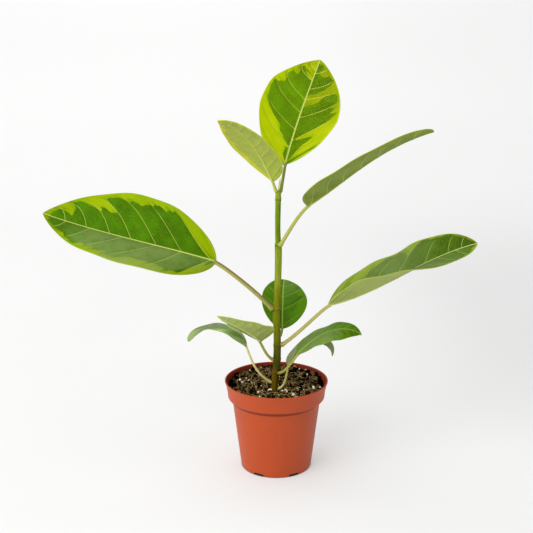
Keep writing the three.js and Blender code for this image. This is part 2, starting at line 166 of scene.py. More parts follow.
# Lights: name, place, target, width, depth, the setting that holds the power, and whether the
# light shows in gloss and falls on matt surfaces.
LIGHTS = (
    ("overhead_panel", (-0.4, -0.3, 1.9), (0, 0.1, 0), 2.4, 2.2, "overhead", False, True),
    ("left_panel", (-1.15, -1.35, 1.3), (0, 0, 0.15), 1.7, 1.7, "side", False, True),
    ("left_screen", (-1.9, 0.5, 0.8), (0, 0, 0.25), 1.6, 1.6, "screen", True, True),
    ("right_panel", (1.7, -0.5, 1.3), (0.1, 0.1, 0.1), 1.2, 1.2, "fill", False, True),
    ("low_screen", (-0.5, 1.6, 0.65), (0, 0, 0.2), 1.7, 1.1, "low", True, False),
    ("high_screen", (-0.15, 1.45, 1.95), (0, 0, 0.2), 1, 1.3, "high", True, False),
    ("wall_wash", (-0.1, 0.9, 2.3), (0, 2.3, 0.9), 2, 0.8, "wash", False, True),
)


def rgb(red, green, blue):
    """Linear colour of a screen colour given from 0 to 255."""
    shares = [part / 255 for part in (red, green, blue)]
    return tuple(c / 12.92 if c <= 0.04045 else ((c + 0.055) / 1.055) ** 2.4 for c in shares)


def scaled(colour, *factors):
    """Colour times one factor, or times one for each channel, and 1 at most."""
    return tuple(min(1, c * f) for c, f in zip(colour, factors * 3))


DARK_GREEN = rgb(84, 136, 4)
LIME = rgb(176, 194, 2)
PALE_RIB = rgb(205, 212, 122)
UNDER_RIB = rgb(196, 200, 112)
# Grey of the painted sheen that stands in for light reflected from the leaves.
PAINTED_SHEEN_GREY = rgb(128, 142, 88)
UNDER_GREEN = rgb(140, 165, 78)
UNDER_LIME = rgb(178, 188, 72)

# Side veins of a half blade: where each leaves the midrib and how far it sweeps on, as shares.
EVEN_VEINS = [
    (0.02, 0.24), (0.17, 0.26), (0.32, 0.25), (0.47, 0.22), (0.61, 0.17), (0.74, 0.12),
    (0.86, 0.07),
]

# Edge of the green heart of a half blade: place on the midrib of the vein that runs there, and
# share of the half's width that is green. Between the veins the edge steps, as it does on a fig.
PLAIN_HEART = [
    (-0.3, 0.9), (0, 0.97), (0.15, 0.93), (0.16, 0.98), (0.31, 0.96), (0.33, 0.99), (0.46, 0.95),
    (0.48, 0.98), (0.62, 0.93), (0.64, 0.97), (0.75, 0.9), (0.77, 0.95), (0.9, 0.8), (0.97, 0.3),
    (1, 0),
]
STEPPED_HEART = [
    (-0.05, 0), (0.01, 0.1), (0.03, 0.62), (0.15, 0.7), (0.16, 0.55), (0.2, 0.84), (0.31, 0.8),
    (0.33, 0.66), (0.36, 0.88), (0.46, 0.78), (0.48, 0.9), (0.6, 0.8), (0.62, 0.6), (0.66, 0.82),
    (0.74, 0.75), (0.76, 0.5), (0.8, 0.72), (0.86, 0.6), (0.88, 0.3), (0.95, 0),
]
SHADED_HEART = [
    (-0.3, 0.55), (0.02, 0.6), (0.04, 0.42), (0.16, 0.5), (0.33, 0.6), (0.36, 0.92), (0.46, 0.7),
    (0.58, 0.62), (0.61, 0.95), (0.72, 0.8), (0.82, 0.9), (0.95, 0.6), (1, 0.4),
]

# Tone, painted light and shade, and painted grey sheen of both halves of the drooping left leaf.
DROOPING_SHADES = {
    "tone": [(0, 2.6), (0.25, 2.2), (0.4, 0.5), (0.7, 0.4), (0.84, 1.4), (1, 1.65)],
    "bloom": [(0, 0.45, 1.3), (0.6, 0.5, 1.3), (1, 0.75, 1.3)],
}


def half_blade(
    width, fold, curl, veins=EVEN_VEINS, heart=PLAIN_HEART, bare=((-0.3, 0), (1, 0)),
    tone=((0, 1),), shade=None, bloom=((0, 0, 1.3),),
):
    """Half of a blade: width in millimetres, fold and curl in degrees, and lists by the place on
    the midrib. bare: share of the width beside the midrib that isn't green. tone and shade: factors
    on the heart and on the lime, partly the leaf's own tone and partly painted light and shade.
    bloom: share of a painted grey sheen that stands in for reflected light, and how far out it
    goes."""
    return {
        "width": width, "fold": fold, "curl": curl, "veins": veins, "heart": heart, "bare": bare,
        "tone": tone, "shade": shade or tone, "bloom": bloom,
    }


def petiole(height, heading, rise, pull, radius):
    """Stalk of a leaf: where on the stem it leaves and which way, how hard its two ends pull on
    its curve, and its radius at both ends."""
    return {"height": height, "heading": heading, "rise": rise, "pull": pull, "radius": radius}


# Leaves from the top down, in millimetres and degrees. base: where blade and stalk meet.
# heading, rise and roll: the way the midrib points, its climb and its twist, at the base, the
# middle and the tip. widest: how far along the widest place lies. ends: bluntness of both ends.
# wave: ripple of the margin. Colours: stalk and stalk_top, dark, light, rib and vein above,
# under_dark and under_light beneath. joint: share of the stalk that is browner at the stem.
# rib_width: half width of the pale rib at the base. gloss: of the upper face. blotch: strength
# of the mottling beneath. hole: place of a hole mark.
LEAVES = [
    {
        "name": "leaf_crown", "base": (8, 2, 313.5), "heading": (68, 62, 60), "rise": (52, 50, 49),
        "roll": (-3, -9, -6), "length": 123, "widest": 0.44, "ends": (0.55, 0.8), "wave": 0.8,
        "left": half_blade(
            44, (28, 32, 18), 20,
            veins=[
                (0, 0.24), (0.15, 0.25), (0.32, 0.175), (0.48, 0.183), (0.605, 0.18), (0.79, 0.12),
                (0.9, 0.07),
            ],
            heart=[
                (-0.3, 0), (-0.01, 0), (0.007, 0.13), (0.034, 0.19), (0.084, 0.17), (0.122, 0.12),
                (0.146, 0.03), (0.15, 0.06), (0.163, 0.18), (0.175, 0.28), (0.184, 0.37),
                (0.216, 0.37), (0.233, 0.42), (0.24, 0.52), (0.249, 0.59), (0.26, 0.66),
                (0.272, 0.74), (0.304, 0.82), (0.326, 0.86), (0.355, 0.89), (0.4, 0.915),
                (0.457, 0.925), (0.487, 0.93), (0.496, 0.86), (0.524, 0.78), (0.552, 0.72),
                (0.58, 0.72), (0.603, 0.77), (0.618, 0.83), (0.638, 0.88), (0.666, 0.88),
                (0.7, 0.78), (0.715, 0.66), (0.728, 0.55), (0.748, 0.62), (0.77, 0.6),
                (0.785, 0.79), (0.81, 0.82), (0.828, 0.62), (0.832, 0), (1, 0),
            ],
            bare=[
                (-0.3, 0), (0.785, 0), (0.79, 0.12), (0.8, 0.3), (0.815, 0.42), (0.828, 0.6),
                (0.84, 0), (1, 0),
            ],
            tone=[(0, 0.94), (0.3, 0.88), (0.5, 0.94), (0.65, 0.9), (0.8, 0.84)],
            shade=[(-0.2, 1.14), (0.5, 1.1), (0.7, 0.82), (1, 0.7)],
        ),
        "right": half_blade(
            41, (24, 8, 10), -2,
            veins=[
                (0, 0.295), (0.21, 0.293), (0.43, 0.197), (0.605, 0.119), (0.705, 0.116),
                (0.86, 0.06),
            ],
            heart=[
                (-0.3, 0), (-0.15, 0), (-0.14, 0.93), (-0.11, 0.96), (-0.095, 0.75), (-0.06, 0.45),
                (-0.035, 0.3), (-0.03, 0.2), (-0.01, 0.25), (0.015, 0.29), (0.04, 0.33),
                (0.064, 0.4), (0.072, 0.48), (0.085, 0.57), (0.1, 0.61), (0.117, 0.57),
                (0.143, 0.43), (0.17, 0.26), (0.19, 0.14), (0.21, 0.12), (0.218, 0.4),
                (0.222, 0.7), (0.235, 0.78), (0.25, 0.86), (0.262, 0.93), (0.29, 0.9), (0.32, 0.8),
                (0.34, 0.78), (0.364, 0.85), (0.39, 0.77), (0.43, 0.7), (0.436, 0.8),
                (0.445, 0.88), (0.48, 0.91), (0.511, 0.915), (0.568, 0.87), (0.6, 0.78),
                (0.618, 0.74), (0.624, 0.4), (0.63, 0), (0.635, 0.04), (0.643, 0.27),
                (0.655, 0.44), (0.67, 0.6), (0.678, 0.8), (0.7, 0.89), (0.747, 0.92), (0.78, 0.79),
                (0.79, 0.56), (0.812, 0.37), (0.846, 0.3), (0.87, 0.34), (0.88, 0.62), (0.9, 0.72),
                (0.92, 0.62), (0.941, 0.4), (0.955, 0), (1, 0),
            ],
            bare=[
                (-0.3, 0), (0.53, 0), (0.537, 0.12), (0.541, 0.3), (0.55, 0.42), (0.577, 0.47),
                (0.596, 0.52), (0.61, 0.66), (0.62, 0.74), (0.63, 0), (1, 0),
            ],
            tone=[(0, 0.66), (0.3, 0.6), (0.6, 0.54), (0.9, 0.5)],
            shade=[(-0.2, 0.86), (0.1, 0.74), (0.42, 0.54), (1, 0.5)],
        ),
        "petiole": petiole(285, 43, 66, (9, 7), (1.5, 1.4)),
        "stalk": rgb(150, 158, 60), "dark": rgb(97, 146, 4), "light": rgb(186, 200, 0),
        "rib": rgb(192, 203, 100), "vein": rgb(204, 212, 84), "rib_width": 1.35, "gloss": 0.05,
    },
    {
        "name": "leaf_top_left", "base": (-3.5, -4, 297.5), "heading": (-139, -138, -146),
        "rise": (63, 46, 17), "roll": (-7, -3, -10), "length": 95, "widest": 0.47,
        "ends": (0.75, 0.75), "wave": 0.3,
        "left": half_blade(31, (12, -2, 14), -8),
        "right": half_blade(32, (14, 2, 12), -8, heart=STEPPED_HEART),
        "petiole": petiole(286, 212, 69, (5, 4), (1.4, 1.3)),
        "stalk": rgb(196, 196, 100), "under_dark": rgb(146, 166, 73),
        "under_light": rgb(195, 194, 42), "vein": rgb(196, 204, 120),
    },
    {
        "name": "leaf_upper_right", "base": (29.5, -15, 276.5), "heading": (-27, -28, -1),
        "rise": (34, 36, 16), "roll": (-2, -9, 1), "length": 145, "widest": 0.42,
        "ends": (0.6, 0.5), "wave": 0.35,
        "left": half_blade(33, (8, 2, -6), 0, heart=STEPPED_HEART),
        "right": half_blade(36, (28, 18, 30), 2),
        "petiole": petiole(233, -63, 41, (18, 12), (2, 1.5)),
        "stalk": rgb(176, 178, 86), "under_dark": rgb(128, 150, 58),
        "under_light": rgb(146, 158, 47), "rib": rgb(196, 200, 110), "vein": rgb(212, 214, 150),
        "blotch": 1,
    },
    {
        "name": "leaf_large_left", "base": (-59.5, -5, 218), "heading": (188, 170, 178),
        "rise": (19, 12, 20), "roll": (41, 25, 39), "length": 179, "widest": 0.47,
        "ends": (0.65, 0.8), "wave": 0.7,
        "left": half_blade(
            42, (0, 18, 2), -22,
            veins=[
                (0.02, 0.19), (0.2, 0.18), (0.345, 0.268), (0.535, 0.225), (0.725, 0.138),
                (0.865, 0.076),
            ],
            heart=[
                (-0.3, 0), (-0.04, 0), (-0.02, 0.5), (0, 0.3), (0.012, 0.35), (0.02, 0.9),
                (0.1, 0.88), (0.14, 0.82), (0.215, 0.75), (0.257, 0.78), (0.292, 0.77),
                (0.316, 0.88), (0.36, 0.84), (0.38, 0.78), (0.44, 0.85), (0.485, 0.77),
                (0.52, 0.84), (0.577, 0.78), (0.596, 0.92), (0.7, 0.88), (0.78, 0.76), (0.86, 0.8),
                (0.92, 0.7), (0.95, 0.3), (0.965, 0), (1, 0),
            ],
            tone=[(0.3, 0.92), (0.7, 0.92), (0.82, 0.76), (1, 0.76)],
            bloom=[
                (-0.1, 0.1, 1), (0.02, 0.3, 0.7), (0.14, 0.4, 1.1), (0.3, 0.52, 1.1),
                (0.4, 0.46, 0.85), (0.6, 0.46, 0.85), (0.7, 0.34, 0.75), (0.8, 0.1, 0.6),
                (0.9, 0.02, 0.6), (1, 0, 0.6),
            ],
        ),
        "right": half_blade(
            49, (18, 24, 22), 6,
            veins=[
                (0.02, 0.298), (0.195, 0.319), (0.34, 0.33), (0.485, 0.3), (0.61, 0.24),
                (0.745, 0.16), (0.87, 0.08),
            ],
            heart=[
                (-0.3, 0), (0.012, 0), (0.02, 0.8), (0.04, 0.92), (0.09, 0.84), (0.12, 0.82),
                (0.14, 0.88), (0.22, 0.82), (0.28, 0.77), (0.31, 0.81), (0.345, 0.78),
                (0.365, 0.88), (0.45, 0.86), (0.48, 0.7), (0.49, 0.52), (0.535, 0.48),
                (0.57, 0.66), (0.6, 0.52), (0.635, 0.62), (0.655, 0.9), (0.73, 0.84),
                (0.755, 0.78), (0.78, 0.52), (0.825, 0.3), (0.85, 0.48), (0.874, 0.63),
                (0.91, 0.56), (0.95, 0.2), (0.96, 0), (1, 0),
            ],
            tone=[(0, 0.95), (0.3, 0.95), (0.5, 1.1), (0.7, 1.1), (0.85, 1)],
            shade=[(0, 1.05), (0.4, 1.16), (0.6, 1.16), (0.8, 1), (1, 1)],
        ),
        "petiole": petiole(166, 191, 52, (22, 6), (2.3, 2.1)),
        "stalk": rgb(178, 176, 92), "stalk_top": rgb(142, 122, 72), "dark": rgb(63, 111, 2),
        "light": rgb(137, 159, 0), "rib": rgb(188, 198, 98), "gloss": 0.05,
    },
    {
        "name": "leaf_large_right", "base": (51.5, -7, 174.5), "heading": (-11, -8, 5),
        "rise": (16, 30, 13), "roll": (-6, 0, -23), "length": 158, "widest": 0.5,
        "ends": (0.75, 0.75), "wave": 1,
        "left": half_blade(
            40, (62, 18, 32), 6,
            veins=[
                (0.02, 0.22), (0.14, 0.24), (0.273, 0.243), (0.453, 0.227), (0.658, 0.159),
                (0.813, 0.085), (0.9, 0.05),
            ],
            heart=[
                (-0.3, 0), (-0.01, 0), (0, 0.45), (0.03, 0.75), (0.045, 0.7), (0.05, 0.3),
                (0.06, 0), (0.1, 0), (0.118, 0.58), (0.135, 0.72), (0.145, 0.86), (0.165, 0.72),
                (0.22, 0.92), (0.3, 0.9), (0.324, 0.92), (0.4, 0.8), (0.442, 0.65), (0.469, 0.73),
                (0.48, 0.87), (0.515, 0.96), (0.633, 0.9), (0.746, 0.96), (0.89, 0.8), (0.96, 0.6),
                (0.99, 0), (1, 0),
            ],
            tone=[(0.7, 1), (0.85, 0.74), (1, 0.74)],
            bloom=[
                (0, 0.3, 1.3), (0.4, 0.36, 0.9), (0.55, 0.2, 0.9), (0.66, 0.1, 0.8),
                (0.75, 0, 0.8),
            ],
        ),
        "right": half_blade(
            40, (52, 20, -2), 0,
            bloom=[(0, 0.4, 1.3), (0.6, 0.3, 1.3), (0.85, 0.08, 1.3), (0.93, 0, 1.3)],
        ),
        "petiole": petiole(129, -19, 36, (25, 5), (1.9, 1.6)),
        "stalk": rgb(190, 188, 98), "stalk_top": rgb(166, 154, 88), "dark": rgb(69, 103, 9),
        "light": rgb(139, 160, 30), "under_dark": rgb(156, 171, 93),
        "under_light": rgb(176, 186, 86), "vein": rgb(160, 180, 92),
    },
    {
        "name": "leaf_round_back", "base": (6, 8, 144), "heading": (87, 87, 83),
        "rise": (68, 57, 24), "roll": (-4, -5, -3), "length": 55, "widest": 0.52,
        "ends": (0.55, 0.6), "wave": 0.4,
        "left": half_blade(
            22, (12, 10, 8), 4, veins=[(0.03, 0.3), (0.35, 0.33), (0.6, 0.24), (0.82, 0.12)],
            heart=SHADED_HEART,
        ),
        "right": half_blade(
            25, (8, 4, 6), -10, veins=[(0.03, 0.34), (0.35, 0.34), (0.6, 0.25), (0.82, 0.12)],
            heart=SHADED_HEART,
            bloom=[(0.4, 0, 1.3), (0.6, 0.14, 0.9), (0.8, 0.22, 1.3), (1, 0.2, 1.3)],
        ),
        "petiole": petiole(137, 51, 39, (4, 3), (1.4, 1.3)),
        "stalk": rgb(170, 176, 84), "dark": rgb(72, 116, 5), "light": rgb(84, 130, 7),
        "rib": rgb(150, 176, 80),
    },
    {
        "name": "leaf_low_left", "base": (-16.5, -8, 136.5), "heading": (-120, -133, -144),
        "rise": (42, 32, 34), "roll": (-12, -9, -10), "length": 72, "widest": 0.43,
        "ends": (0.55, 0.85), "wave": 0.5,
        "left": half_blade(28, (22, 10, 14), 2),
        "right": half_blade(21, (22, 10, 10), 0),
        "petiole": petiole(114, -143, 26, (12, 7), (1.4, 1.3)),
        "stalk": rgb(172, 168, 74), "joint": 0.16, "under_dark": rgb(157, 176, 94),
        "under_light": rgb(183, 191, 92), "rib": rgb(214, 216, 150), "vein": rgb(216, 220, 160),
        "blotch": 0.7, "hole": (-17.9, -23.4, 150),
    },
    {
        "name": "leaf_low_right", "base": (21, -9, 123), "heading": (13, -2, -2),
        "rise": (44, 24, -38), "roll": (-9, -3, -21), "length": 74, "widest": 0.49,
        "ends": (0.6, 0.9), "wave": 0.5,
        "left": half_blade(
            21, (24, -2, 16), -4,
            bloom=[(0, 0.5, 1.3), (0.3, 0.4, 1.3), (0.45, 0.1, 0.6), (0.55, 0, 0.5)],
        ),
        "right": half_blade(
            22, (22, 2, 0), -16,
            bloom=[(0, 0.5, 1.3), (0.4, 0.4, 1.3), (0.6, 0.25, 0.7), (0.7, 0, 0.5)],
        ),
        "petiole": petiole(100, -53, 17, (15, 8), (1.4, 1.2)),
        "stalk": rgb(180, 180, 84), "joint": 0.2, "dark": rgb(79, 117, 4),
        "light": rgb(105, 145, 8), "rib": rgb(156, 186, 88), "vein": rgb(116, 156, 50),
        "gloss": 0.05,
    },
    {
        "name": "leaf_drooping_left", "base": (-29.5, -10, 131.5), "heading": (189, 171, 210),
        "rise": (71, 3, -54), "roll": (11, -6, 2), "length": 74, "widest": 0.44,
        "ends": (0.75, 0.6), "wave": 0.4,
        "left": half_blade(18, (0, 6, 16), -14, **DROOPING_SHADES),
        "right": half_blade(17, (10, 2, 18), -10, **DROOPING_SHADES),
        "petiole": petiole(89, -158, 33, (22, 16), (1.2, 1.1)),
        "stalk": rgb(228, 220, 144), "stalk_top": rgb(220, 206, 130), "joint": 0.04,
        "dark": rgb(129, 155, 98), "light": rgb(147, 163, 66), "rib": rgb(140, 170, 90),
        "under_dark": rgb(146, 166, 82), "under_light": rgb(162, 178, 86),
    },
    {
        "name": "leaf_drooping_right", "base": (11.5, 10, 104.5), "heading": (36, -1, -6),
        "rise": (53, 20, -96), "roll": (11, 7, -11), "length": 66, "widest": 0.46,
        "ends": (0.65, 0.85), "wave": 0.3,
        "left": half_blade(16, (12, 8, 24), 0),
        "right": half_blade(13, (18, 12, 14), 2),
        "petiole": petiole(82, 0, 6, (11, 4), (1, 1)),
        "stalk": rgb(226, 226, 146), "stalk_top": rgb(214, 210, 120), "joint": 0.02,
        "dark": rgb(132, 140, 98), "light": rgb(138, 152, 98), "rib": rgb(150, 174, 96),
        "under_dark": rgb(152, 163, 90), "under_light": rgb(154, 172, 86),
    },
]


def tint(name, description, default):
    """Colour setting."""
    return FloatVectorProperty(
        name=name, description=description, subtype="COLOR", default=default, min=0, max=1
    )


def amount(name, description, default, least=0, most=1):
    """Setting that is a plain number."""
    return FloatProperty(
        name=name, description=description, default=default, min=least, max=most
    )


def whole(name, description, default, least, most):
    """Setting that is a whole number."""
    return IntProperty(name=name, description=description, default=default, min=least, max=most)


def power(name, description, default):
    """Setting for the power of a light."""
    return FloatProperty(name=name, description=description, default=default, min=0, unit="POWER")


class PotSettings(bpy.types.PropertyGroup):
    sectors: whole("Sectors", "Faces round the pot", 288, 72, 720)
    wall: tint("Wall colour", "Colour of the moulded pot", rgb(181, 71, 25))
    # Inner colour: a painted shade, darker than the wall, for the shade inside the pot above the
    # mix.
    inner_shade: tint("Inner colour", "Colour of the inside above the mix", rgb(134, 44, 17))
    roughness: amount("Roughness", "Roughness of the moulded wall", 0.48)


class SoilSettings(bpy.types.PropertyGroup):
    mix: tint("Mix colour", "Colour of the damp mix", rgb(20, 9, 4))
    crumb: tint("Crumb colour", "Colour of the dry crumbs", rgb(120, 94, 54))
    perlite: tint("Perlite colour", "Colour of the white grains", rgb(240, 226, 198))
    fibre: tint("Fibre colour", "Colour of the fibres", rgb(214, 190, 134))
    crumbs: whole("Crumbs", "Number of loose crumbs", 2400, 0, 4000)
    grains: whole("Grains", "Number of small scattered white grains", 46, 0, 400)
    fibres: whole("Fibres", "Number of fibres", 420, 0, 600)


class StemSettings(bpy.types.PropertyGroup):
    sides: whole("Sides", "Faces round the stem", 48, 12, 128)
    foot: tint("Foot colour", "Colour of the stem at the mix", rgb(68, 72, 1))
    middle: tint("Middle colour", "Colour of the ripened stem", rgb(126, 129, 6))
    tip: tint("Young colour", "Colour of the green stem", rgb(108, 138, 10))
    scar: tint("Scar colour", "Colour of the rings where leaves sat", rgb(92, 66, 20))
    sheath: tint("Sheath colour", "Colour of the sheath at the tip", rgb(214, 214, 124))


class LeafSettings(bpy.types.PropertyGroup):
    rows: whole("Rows", "Rows of faces along a long blade", 190, 20, 400)
    columns: whole("Columns", "Columns of faces across a half blade", 46, 8, 120)
    quilt: amount("Quilting", "Rise of the blade between its side veins, in mm", 0.65, 0, 2)
    vein_width: amount("Vein width", "Width of a side vein at the midrib, in mm", 0.62, 0.1, 3)
    streak: amount("Streaks", "How far the colour edge wanders along veins, in mm", 2.4, 0, 8)
    roughness: amount("Upper roughness", "Roughness of the waxy upper face", 0.35)
    under_roughness: amount("Under roughness", "Roughness of the matt under face", 0.62)


class StageSettings(bpy.types.PropertyGroup):
    backdrop: tint("Backdrop colour", "Colour of the floor and backdrop", (0.93, 0.93, 0.925))
    overhead: power("Overhead light", "Power of the light above", 14)
    side: power("Side light", "Power of the light from the left", 30)
    screen: power("Left screen", "Power of the pale screen on the left", 8)
    fill: power("Right light", "Power of the light from the right", 0.8)
    low: power("Low screen", "Power of the low screen seen in gloss alone", 3)
    high: power("High screen", "Power of the high screen seen in gloss alone", 3.5)
    wash: power("Wall light", "Power of the light on the wall behind", 10)
    sky: amount("Surrounding light", "Strength of the light all round", 0.54, 0, 10)
    glow: amount("Glow", "Light the sweep gives off by itself", 0.39, 0, 0.8)


def math_method(operation, turned=False):
    """Method that puts a signal, with another value if one is given, into a Math node."""

    def method(self, *other):
        return self.board.math(operation, *((*other, self) if turned else (self, *other)))

    return method


class Signal:
    """An output socket; sums, products and powers of signals add their Math nodes."""

    def __init__(self, board, socket):
        self.board = board
        self.socket = socket

    __add__ = __radd__ = math_method("ADD")
    __sub__ = math_method("SUBTRACT")
    __rsub__ = math_method("SUBTRACT", turned=True)
    __mul__ = __rmul__ = math_method("MULTIPLY")
    __pow__ = math_method("POWER")
    __abs__ = math_method("ABSOLUTE")
    fraction = math_method("FRACT")
    or_more = math_method("MAXIMUM")

    def smooth(self, low, high):
        """0 below low, 1 above high, eased between."""
        sockets = {"Value": self, "From Min": low, "From Max": high}
        return self.board.node("ShaderNodeMapRange", sockets, interpolation_type="SMOOTHSTEP")


class Board:
    """The node tree of one material."""

    def __init__(self, name):
        self.material = bpy.data.materials.new(name)
        self.material.use_nodes = True
        self.tree = self.material.node_tree
        self.tree.nodes.clear()

    def node(self, kind, sockets, output=0, **settings):
        """Adds a node: its settings first, then a value or a link for each socket."""
        made = self.tree.nodes.new(kind)
        for setting, value in settings.items():
            setattr(made, setting, value)
        for key, value in sockets.items():
            socket = made.inputs[key]
            if isinstance(value, Signal):
                self.tree.links.new(value.socket, socket)
            elif socket.type == "RGBA" and len(value) == 3:
                socket.default_value = (*value, 1)
            else:
                socket.default_value = value
        return Signal(self, made.outputs[output])

    def math(self, operation, *values):
        return self.node("ShaderNodeMath", dict(enumerate(values)), operation=operation)

    def mix(self, factor, first, second, blend="MIX"):
        """Colour that goes from first to second as factor goes from 0 to 1."""
        return self.node(
            "ShaderNodeMix", {0: factor, 6: first, 7: second}, 2,
            data_type="RGBA", blend_type=blend, clamp_factor=True,
        )

    def layers(self, colour, *pairs):
        """Colour with others laid over it in turn; a pair is a share and the colour it brings."""
        for factor, above in pairs:
            colour = self.mix(factor, colour, above)
        return colour

    def times(self, colour, factor):
        """Colour with all its channels multiplied by a signal."""
        return self.mix(1, colour, self.vector(factor, factor, factor), "MULTIPLY")

    def attributes(self, *names):
        return [self.node("ShaderNodeAttribute", {}, 2, attribute_name=name) for name in names]

    def place(self):
        return self.node("ShaderNodeTexCoord", {}, 3)

    def axes(self, vector):
        made = self.node("ShaderNodeSeparateXYZ", {0: vector}).socket.node
        return [Signal(self, socket) for socket in made.outputs]

    def vector(self, x, y, z):
        return self.node("ShaderNodeCombineXYZ", {0: x, 1: y, 2: z})

    def noise(self, vector, scale, detail=3.0, roughness=0.55):
        sockets = {"Vector": vector, "Scale": scale, "Detail": detail, "Roughness": roughness}
        return self.node("ShaderNodeTexNoise", sockets)

    def bump(self, height, distance, strength):
        sockets = {"Height": height, "Distance": distance, "Strength": strength}
        return self.node("ShaderNodeBump", sockets)

    def finish(self, colour, roughness, normal=None, **constants):
        """Puts colour, roughness and normal on the surface shader, and constants on its own
        sockets."""
        sockets = {"Base Color": colour, "Roughness": roughness}
        if normal is not None:
            sockets["Normal"] = normal
        for key, value in constants.items():
            sockets[key.replace("_", " ")] = value
        shader = self.node("ShaderNodeBsdfPrincipled", sockets)
        made = self.tree.nodes.new("ShaderNodeOutputMaterial")
        self.tree.links.new(shader.socket, made.inputs["Surface"])
        return self.material


def circle(count):
    """Angles of points spread evenly round a circle."""
    return np.linspace(0, 2 * np.pi, count, endpoint=False)


def unit(vectors):
    """Vectors scaled to length 1."""
    return vectors / np.linalg.norm(vectors, axis=-1, keepdims=True)


def hump(away, width):
    """Bell: 1 in the middle, falling off by the square of the distance over the width."""
    return np.exp(-((away / width) ** 2))


def between(pairs, place):
    """Straight lines through (place, value) pairs."""
    return np.interp(place, [p for p, _ in pairs], [v for _, v in pairs])


def eased(pairs, place):
    """Smooth curve through (place, value) pairs: cubic pieces whose slope at an inner pair is that
    from its neighbour before to its neighbour after."""
    x, y = np.array(pairs, float).T
    slope = np.gradient(y, x)
    k = np.clip(np.searchsorted(x, place, side="right") - 1, 0, len(x) - 2)
    width = x[k + 1] - x[k]
    u = (place - x[k]) / width
    rising = (3 - 2 * u) * u**2
    leaning = width * u * (1 - u) * (slope[k] * (1 - u) - slope[k + 1] * u)
    return y[k] * (1 - rising) + y[k + 1] * rising + leaning


def along(three, s):
    """Curve through three values at the base, the middle and the tip."""
    base, middle, tip = three
    return base * (1 - s) * (1 - 2 * s) + 4 * middle * s * (1 - s) + tip * s * (2 * s - 1)


def direction(heading, rise):
    """Unit vectors that point at a heading and climb by a rise, both in degrees."""
    h, r = np.radians(heading), np.radians(rise)
    return np.stack([np.cos(h) * np.cos(r), np.sin(h) * np.cos(r), np.sin(r) + 0 * h], -1)


def lattice(x, y, cell, seed):
    """Soft noise from 0 to 1: random heights on a square lattice, eased between its points."""
    size = 64
    table = np.random.default_rng(seed).random((size, size))
    u, v = x / cell, y / cell
    i, j = np.floor(u).astype(int), np.floor(v).astype(int)
    fu, fv = u - i, v - j
    fu, fv = fu * fu * (3 - 2 * fu), fv * fv * (3 - 2 * fv)

    def row(b):
        left, right = table[i % size, b % size], table[(i + 1) % size, b % size]
        return left * (1 - fu) + right * fu

    return row(j) * (1 - fv) + row(j + 1) * fv


def grid_quads(rows, columns, wrap=False):
    """Quads of a grid of points, row by row; wrap joins the last column to the first."""
    i = np.arange(rows - 1)[:, None] * columns
    j = np.arange(columns if wrap else columns - 1)[None, :]
    k = (j + 1) % columns
    return np.stack([i + j, i + k, i + columns + k, i + columns + j], -1).reshape(-1, 4)


def fan(ring, middle, turned=False):
    """Triangles from a closed ring of point numbers to a middle point."""
    after = np.roll(ring, -1)
    first, second = (after, ring) if turned else (ring, after)
    return np.stack([first, second, np.full(len(ring), middle)], -1)


def closed(rings, start, end):
    """Skin over rings of points, closed by fans to a start point and an end point."""
    rows, sides = rings.shape[:2]
    ring = np.arange(sides)
    count = rows * sides
    faces = [
        grid_quads(rows, sides, wrap=True),
        fan(ring, count, turned=True),
        fan(ring + count - sides, count + 1),
    ]
    return np.vstack([rings.reshape(-1, 3), [start], [end]]), faces


def copies(count, size, faces):
    """Faces of a form of so many points, again for each of its copies."""
    shift = (np.arange(count) * size)[:, None, None]
    return [(part[None] + shift).reshape(-1, part.shape[1]) for part in faces]


def tube(path, radii, sides):
    """Closed tube: rings of points round a path, square to it, with a point in the middle of both
    ends. The first cross direction is the part of up, or of x on a steep path, square to it."""
    way = unit(np.gradient(path, axis=0))
    steep = abs(way[:, 2]).mean() > 0.9
    start = np.array([1.0, 0, 0]) if steep else np.array([0, 0, 1.0])
    across = unit(start - way * (way @ start)[:, None])
    other = np.cross(way, across)
    turn = circle(sides)[None, :, None]
    round_way = across[:, None] * np.cos(turn) + other[:, None] * np.sin(turn)
    rings = path[:, None] + round_way * np.asarray(radii)[:, None, None]
    return closed(rings, path[0], path[-1])


def add_mesh(name, points, faces, looks, face_looks=None):
    """Makes an object from points in millimetres and lists of faces, shaded smooth."""
    mesh = bpy.data.meshes.new(name)
    polygons = [face for part in faces for face in part.tolist()]
    mesh.from_pydata((points * MM).tolist(), [], polygons)
    for look in looks:
        mesh.materials.append(look)
    mesh.polygons.foreach_set("use_smooth", np.ones(len(mesh.polygons), bool))
    if face_looks is not None:
        mesh.polygons.foreach_set("material_index", np.asarray(face_looks, np.int32))
    mesh.update()
    piece = bpy.data.objects.new(name, mesh)
    bpy.context.scene.collection.objects.link(piece)
    return piece


def add_values(piece, name, values):
    """Gives every face corner of a piece one number under a name."""
    layer = piece.data.attributes.new(name, "FLOAT", "CORNER")
    layer.data.foreach_set("value", np.asarray(values, np.float32))


def add_point_values(piece, name, faces, values):
    """Gives every face corner the number of its point under a name."""
    corners = np.concatenate([part.reshape(-1) for part in faces])
    add_values(piece, name, values[corners])


def settle(piece, nodes):
    """A finished piece rides on the plant's body and stands for its solids."""
    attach(piece, BODY)
    if nodes:
        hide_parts(*nodes)


# --- Pot


